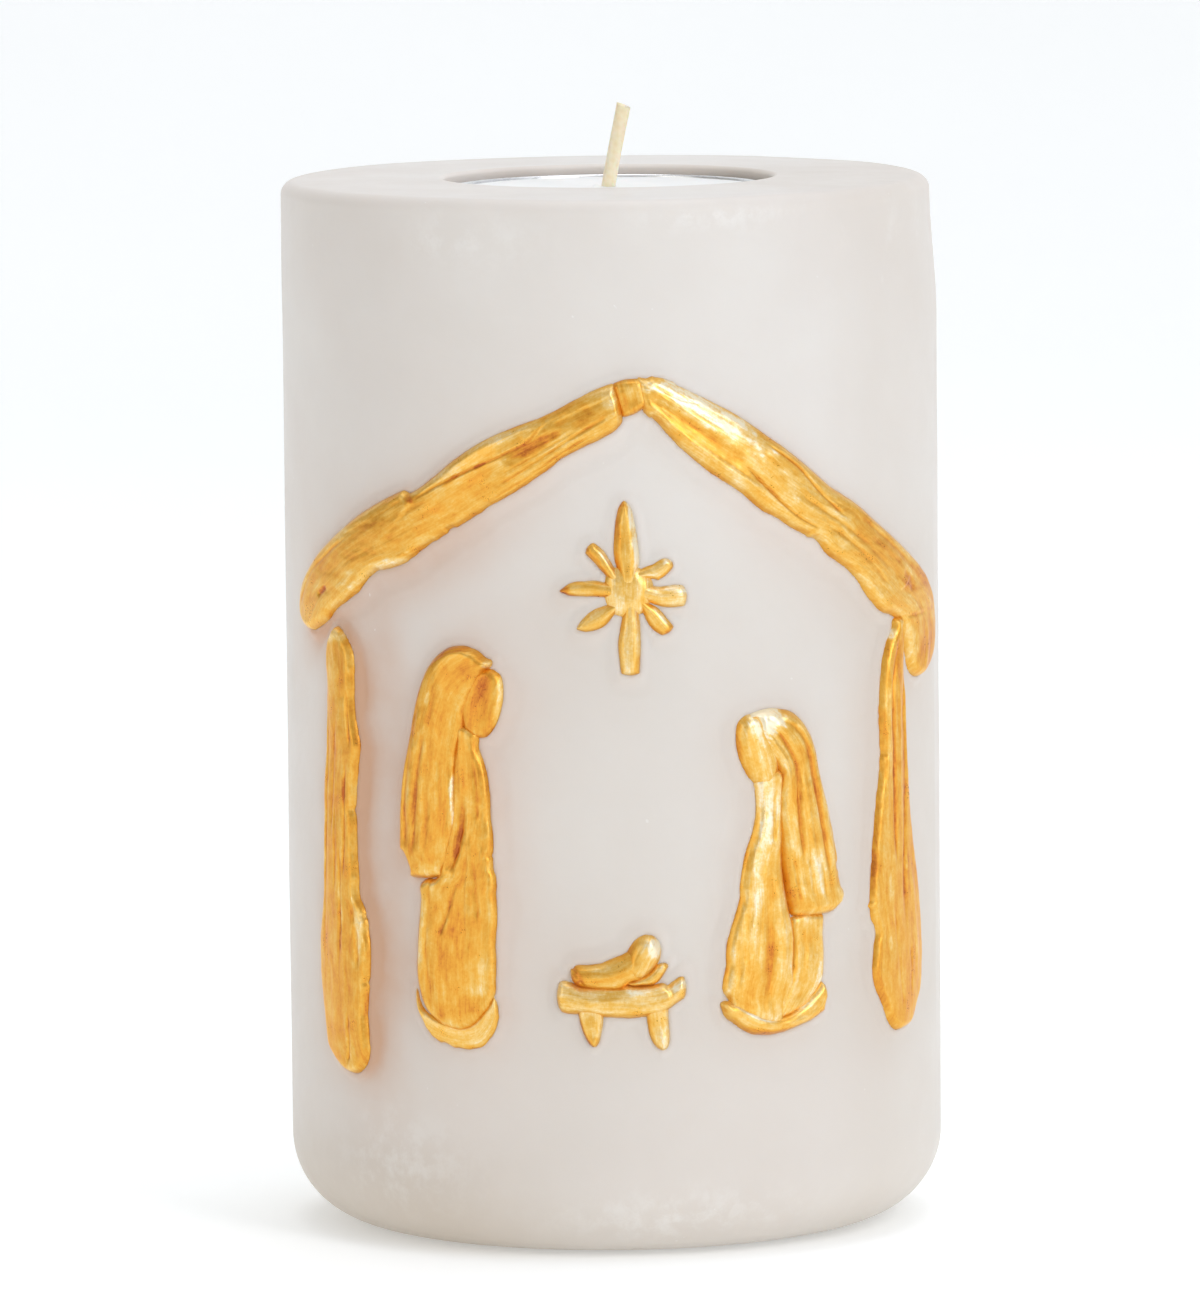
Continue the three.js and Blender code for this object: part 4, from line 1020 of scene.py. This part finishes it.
def pillar_rows():
    """The pillar's profile as [distance from the axis, height], from the middle of the base to the well's floor."""
    cad = np.array([v.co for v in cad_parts["wax_pillar"].data.vertices]) / MM
    out = np.hypot(cad[:, 0], cad[:, 1])
    base = out[cad[:, 2] < 0.01].max()
    well = out[(cad[:, 2] > HEIGHT / 2) & (out > 0.3 * RADIUS)].min()
    floor = cad[(out < 1) & (cad[:, 2] > 1), 2].max()
    foot, brow, lip = RADIUS - base, 1.7, 0.55

    profile = [(0, 0)] + [(r, 0) for r in np.linspace(4, base - 1, 6)]
    profile += arc(RADIUS - foot, foot, foot, -90, 0, 22)
    profile += [(RADIUS, z) for z in np.arange(foot + 1.5, 18, 1.5)]
    profile += [(RADIUS, z) for z in np.arange(18, 109, 0.46)]
    profile += [(RADIUS, z) for z in np.arange(110, HEIGHT - brow, 1.5)]
    profile += arc(RADIUS - brow, HEIGHT - brow, brow, 0, 90, 12)
    profile += [(r, HEIGHT) for r in np.linspace(RADIUS - brow - 1, well + lip + 0.6, 14)]
    profile += arc(well + lip, HEIGHT - lip, lip, 90, 180, 8)
    profile += [(well, z) for z in np.linspace(HEIGHT - lip - 1, floor + 1, 9)]
    profile += [(well, floor), (well - 6, floor), (0, floor)]
    return np.array(profile), well


def hill(x, middle, breadth):
    """1 at the middle, fading over the breadth."""
    return np.exp(-(((x - middle) / breadth) ** 2))


def build_pillar(surroundings):
    profile, well = pillar_rows()
    front = np.radians(np.arange(*FRONT, 0.62))
    back = np.radians(np.linspace(FRONT[1], FRONT[0] + 360, 84, endpoint=False))
    angles = np.r_[front, back]
    angle, out = np.meshgrid(angles, profile[1:-1, 0])
    up = np.repeat(profile[1:-1, 1][:, None], len(angles), 1)
    across = RADIUS * np.arctan2(np.sin(angle), np.cos(angle))
    low, high = RELIEF_BAND
    on_face = (np.abs(out - RADIUS) < 0.01) & (angle < math.radians(FRONT[1])) & (up > low) & (up < high)
    swell, close, wide = (np.zeros(out.shape) for _ in range(3))
    swell[on_face], close[on_face], wide[on_face] = surroundings.at(np.stack([across[on_face], up[on_face]], 1))

    # The cast wax's unevenness: a slow wave all round, a top that dips towards the front and is drawn
    # in at the right.
    cx, cy = np.cos(angle), np.sin(angle)
    wave = rough(3 * cx + up / 34, 3 * cy, 5) * 0.10 + rough(9 * cx, 9 * cy + up / 11, 6) * 0.035
    top = smooth(HEIGHT - 4, HEIGHT - 0.5, up) * smooth(well + 0.1, well + 3, out)
    uneven = 0.10 * noise(2.2 * cx + out / 30, 2.2 * cy, 8) - 0.14 + 0.10 * (cx * 0.3 - np.cos(angle + 0.5))
    drawn_in = 0.8 * smooth(110, 126, up) * smooth(0.4, 1, cy)
    radius = out + smooth(0.62 * RADIUS, RADIUS, out) * (wave - drawn_in) + swell
    vertices, faces = turned(profile, angle, radius, up + top * uneven)
    piece = new_piece("pillar_of_wax", vertices, faces, WAX, "pillar", "wax_pillar")

    front_half = smooth(120, 75, np.abs(across))
    # Warm painted shade beside the relief, between the left post and the left figure, on the top of the well's wall
    # and towards the left; near the rim it also holds the gilding smeared there.
    warm_shade_and_smear = close + blurred(wide, 3.5, 3.5)
    warm_shade_and_smear += 0.27 * hill(across, -28.5, 2.6) * smooth(24, 34, up) * smooth(78, 70, up) * on_face
    warm_shade_and_smear += 0.10 * (out < well + 0.5) * (up > HEIGHT - 6)
    warm_shade_and_smear += 0.08 * smooth(8, -24, across) * smooth(120, 70, up) * front_half

    # Painted shade: darker at the foot and over the lower half, most at the bottom left, at the right side and in
    # the middle right of the relief.
    shade = 0.17 * smooth(9, 2, up) + 0.12 * smooth(60, 10, up)
    shade += 0.38 * smooth(17, 6, up) * smooth(0, -27, across) * front_half
    shade += 0.16 * smooth(25, 38, across) * front_half
    shade += 0.14 * smooth(-16, -4, across) * smooth(92, 78, up) * smooth(18, 30, up) * on_face

    scuff_and_painted_sheen = hill(across, -29, 9) * hill(up, 9, 6) + 0.8 * hill(across, 8, 14) * hill(up, 5, 3)
    # A painted highlight along the front of the top edge, carried with the scuffs.
    scuff_and_painted_sheen += 0.7 * hill(across, 13, 9) * hill(up, HEIGHT - 2.4, 1.3)
    scuff_and_painted_sheen += 0.5 * hill(up, HEIGHT - 5, 3) * smooth(0.2, 0.9, noise(6 * cx, 6 * cy, 12))
    for name, values in (("shade", np.clip(shade, 0, 1)), ("warm_shade_and_smear", warm_shade_and_smear), ("scuff_and_painted_sheen", np.clip(scuff_and_painted_sheen, 0, 1))):
        give(piece, name, np.r_[0, values.ravel(), 0])


# ---- Tea light ----

def build_turned(name, profile, columns, shift, material, node):
    """A turned piece about Z. shift(angle, out, up) gives what each ring point moves out and up by."""
    profile = np.array(profile)
    angle, out = np.meshgrid(np.linspace(0, 2 * math.pi, columns, endpoint=False), profile[1:-1, 0])
    up = np.repeat(profile[1:-1, 1][:, None], columns, 1)
    more_out, more_up = shift(angle, out, up)
    vertices, faces = turned(profile, angle, out + more_out, up + more_up)
    new_piece(name, vertices, faces, material, "tea_light", node)


def build_cup():
    """The drawn cup, fluted below its rolled rim."""
    low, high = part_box("tea_light_cup")
    rim, foot, top = high.x / MM, low.z / MM, high.z / MM
    bead = 0.35
    wall = rim - bead
    inner = wall - 0.25
    profile = [(0, foot + 0.25), (12, foot + 0.25), (12.6, foot), (wall - 1.4, foot)]
    profile += arc(wall - 1.3, foot + 1.1, 1.1, -80, -5, 6)
    drafts, levels = np.linspace(0.1, 0.9, 18), np.linspace(foot + 1.6, top - 1.2, 18)
    profile += [(wall - 0.2 + 0.2 * k, z) for k, z in zip(drafts, levels)]
    profile += arc(wall, top - bead, bead, -70, 150, 10)
    profile += [(inner, z) for z in np.linspace(top - 0.7, foot + 1.2, 12)]
    profile += [(inner - 0.5, foot + 0.5), (inner - 1.4, foot + 0.3), (12, foot + 0.5), (0, foot + 0.5)]

    def flutes(angle, out, up):
        body = smooth(foot + 1.2, foot + 2.6, up) * (1 - smooth(top - 2.2, top - 1.4, up)) * (out > 0.9 * wall)
        return 0.07 * body * np.cos(56 * angle), 0 * out

    build_turned("foil_cup", profile, 448, flutes, ALUMINIUM, "tea_light_cup")


def build_fill():
    """The poured wax: climbing a little at the cup and the wick, dished between them, with a small lump."""
    low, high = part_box("tea_light_fill")
    edge, foot, level = high.x / MM, low.z / MM, high.z / MM
    bore = 0.8
    profile = [(r, foot) for r in (0, 6, 12, edge - 0.8)]
    profile += [(edge, z) for z in np.linspace(foot + 0.8, level - 1, 8)] + [(edge, level - 0.3)]
    profile += [(r, level) for r in np.linspace(edge - 0.4, bore + 0.25, 46)]
    profile += [(bore + 0.05, level - 0.3), (bore, level - 1.1), (0.3, level - 1.2), (0, level - 1.2)]

    def meniscus(angle, out, up):
        climb = 0.22 * np.exp(-(edge - out) / 0.7) + 0.45 * np.exp(-(out - bore) / 0.45)
        dish = -0.12 * smooth(2, 8, out) * (1 - smooth(12, 17, out))
        across, deep = out * np.sin(angle), -out * np.cos(angle)
        lump = 0.5 * hill(across, -1.5, 0.55) * hill(deep, -0.7, 0.55)
        skin = 0.03 * rough(across / 3, deep / 3, 21)
        return 0 * out, smooth(level - 0.5, level, up) * (climb + dish + lump + skin)

    build_turned("poured_fill", profile, 96, meniscus, FILL, "tea_light_fill")


def build_wick():
    """Follows the CAD wick: straight in the fill, then leaning, with the strands of its braid standing out."""
    low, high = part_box("wick")
    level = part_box("tea_light_fill")[1].z / MM
    foot, tip = low.z / MM, high.z / MM - 0.2
    thick = -low.x / MM
    lean_run = high.x / MM - thick
    rows, columns = 190, 30
    z = np.linspace(foot, tip, rows)
    above = np.clip((z - level) / (tip - level), 0, 1)
    centre = np.stack([lean_run * above**1.08, 0 * z, z], 1)
    forward = np.gradient(centre, axis=0)
    forward /= np.linalg.norm(forward, axis=1)[:, None]
    side = np.cross(forward, [0, 1, 0])
    side /= np.linalg.norm(side, axis=1)[:, None]
    front = np.cross(side, forward)
    angle = np.linspace(0, 2 * math.pi, columns, endpoint=False)
    a, zz = np.meshgrid(angle, z)
    braid = np.maximum(np.cos(1.5 * (a + zz * 2.1)) ** 2, np.cos(1.5 * (a - zz * 2.1 + 0.9)) ** 2)
    waxed = 1 - smooth(level + 3, level + 9, zz)
    radius = thick * (0.93 + 0.035 * braid * (1 - 0.6 * waxed) + 0.03 * rough(a * 2, zz / 1.4, 33))
    spoke = np.cos(a)[..., None] * side[:, None] + np.sin(a)[..., None] * front[:, None]
    ring = centre[:, None] + radius[..., None] * spoke
    ring[-1, :, 2] += 0.18 * np.cos(angle - 0.6)
    ends = [centre[0] - forward[0] * 0.05], [centre[-1] + forward[-1] * 0.1]
    vertices = np.concatenate([ends[0], ring.reshape(-1, 3), ends[1]]) * MM
    faces = ring_faces(rows, columns)
    piece = new_piece("braided_wick", vertices, faces, WICK, "tea_light", "wick")
    # Painted shade in the folds of the braid, and paler where the wick is waxed.
    tone = 0.5 + 0.22 * braid + 0.12 * waxed
    give(piece, "braid", np.r_[tone[0, 0], tone.ravel(), tone[-1, 0]])


def finish_tab():
    """The wick tab keeps its CAD shape. It is hidden in the fill."""
    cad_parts["wick_tab"].material_slots[0].material = TINPLATE


# ---- Stage ----

def pale_material():
    m = Nodes("pale_sweep")
    m.drive(m.ramp(m.noise(m.place, 3, detail=2), [(0.3, (0.86, 0.88, 0.88)), (0.7, (0.90, 0.915, 0.915))]))
    m.set(roughness=0.9, emission_strength=0.27, emission_color=(0.97, 0.99, 1.0, 1))
    return m.material


def build_stage():
    """A pale floor that sweeps up into a wall behind the candle."""
    near, bend, far, tall, half_width = -2.4, 1.0, 1.6, 2.4, 2.6
    line = [(near, 0), (bend, 0)]
    line += arc(bend, far - bend, far - bend, -80, 0, 9)
    line.append((far, tall))
    vertices = [(x, y, z - 0.0002) for y, z in line for x in (-half_width, half_width)]
    faces = [(2 * i, 2 * i + 1, 2 * i + 3, 2 * i + 2) for i in range(len(line) - 1)]
    smooth_object("sweep", vertices, faces, pale_material())


def softbox(name, place, size, power, colour=(1, 1, 1)):
    """A rectangular light that faces the middle of the candle."""
    light = bpy.data.lights.new(name, "AREA")
    light.shape = "RECTANGLE"
    light.size, light.size_y = size
    light.energy = power
    light.color = colour
    lamp = bpy.data.objects.new(name, light)
    bpy.context.scene.collection.objects.link(lamp)
    lamp.location = place
    lamp.rotation_euler = (Vector((0, 0, 0.07)) - lamp.location).to_track_quat("-Z", "Y").to_euler()


def build_lights():
    """A room that is brighter up and to the right, and three soft boxes."""
    world = bpy.data.worlds.new("studio")
    bpy.context.scene.world = world
    world.use_nodes = True
    tree = world.node_tree
    tree.nodes.clear()
    direction, towards, shift, ramp, background, output = (
        tree.nodes.new("ShaderNode" + kind)
        for kind in ("TexCoord", "VectorMath", "Math", "ValToRGB", "Background", "OutputWorld")
    )
    towards.operation = "DOT_PRODUCT"
    towards.inputs[1].default_value = (0.38, 0, 0.40)
    shift.operation = "ADD"
    shift.inputs[1].default_value = 0.40
    ramp.color_ramp.elements[0].color = (0.44, 0.425, 0.39, 1)
    ramp.color_ramp.elements[1].color = (1.0, 1.01, 1.07, 1)
    background.inputs["Strength"].default_value = 0.70
    for source, target in (
        (direction.outputs["Generated"], towards.inputs[0]),
        (towards.outputs["Value"], shift.inputs[0]),
        (shift.outputs[0], ramp.inputs["Fac"]),
        (ramp.outputs["Color"], background.inputs["Color"]),
        (background.outputs["Background"], output.inputs["Surface"]),
    ):
        tree.links.new(source, target)
    softbox("key", (0.66, -0.80, 0.56), (0.34, 0.95), 3.55, (0.99, 0.99, 1))
    softbox("left_fill", (-0.95, -0.7, 0.35), (0.6, 0.9), 1.95, (1, 0.97, 0.92))
    softbox("top_light", (0.05, 0.15, 1.1), (0.8, 0.8), 3.2)


def build_camera():
    """A long lens 1.3 m in front of the candle, looking 6.5 degrees down on its middle, with a slight roll."""
    data = bpy.data.cameras.new("camera")
    data.lens = 301.0
    data.clip_start, data.clip_end = 0.05, 20
    camera = bpy.data.objects.new("camera", data)
    bpy.context.scene.collection.objects.link(camera)
    pitch, turn, roll = 0.1130, 0.00116, 0.0098
    look = Vector((-math.sin(turn), math.cos(turn) * math.cos(pitch), -math.sin(pitch))).normalized()
    level = look.cross(Vector((0, 0, 1))).normalized()
    upright = level.cross(look)
    right = level * math.cos(roll) - upright * math.sin(roll)
    upward = upright * math.cos(roll) + level * math.sin(roll)
    rotation = Matrix((right, upward, -look)).transposed()
    camera.matrix_world = Matrix.Translation((0, -1.30636, 0.21796)) @ rotation.to_4x4()
    bpy.context.scene.camera = camera


build_pillar(Surroundings(build_relief()))
build_cup()
build_fill()
build_wick()
finish_tab()
build_stage()
build_lights()
build_camera()
bpy.context.scene.view_settings.view_transform = "Standard"

bpy.context.view_layer.update()
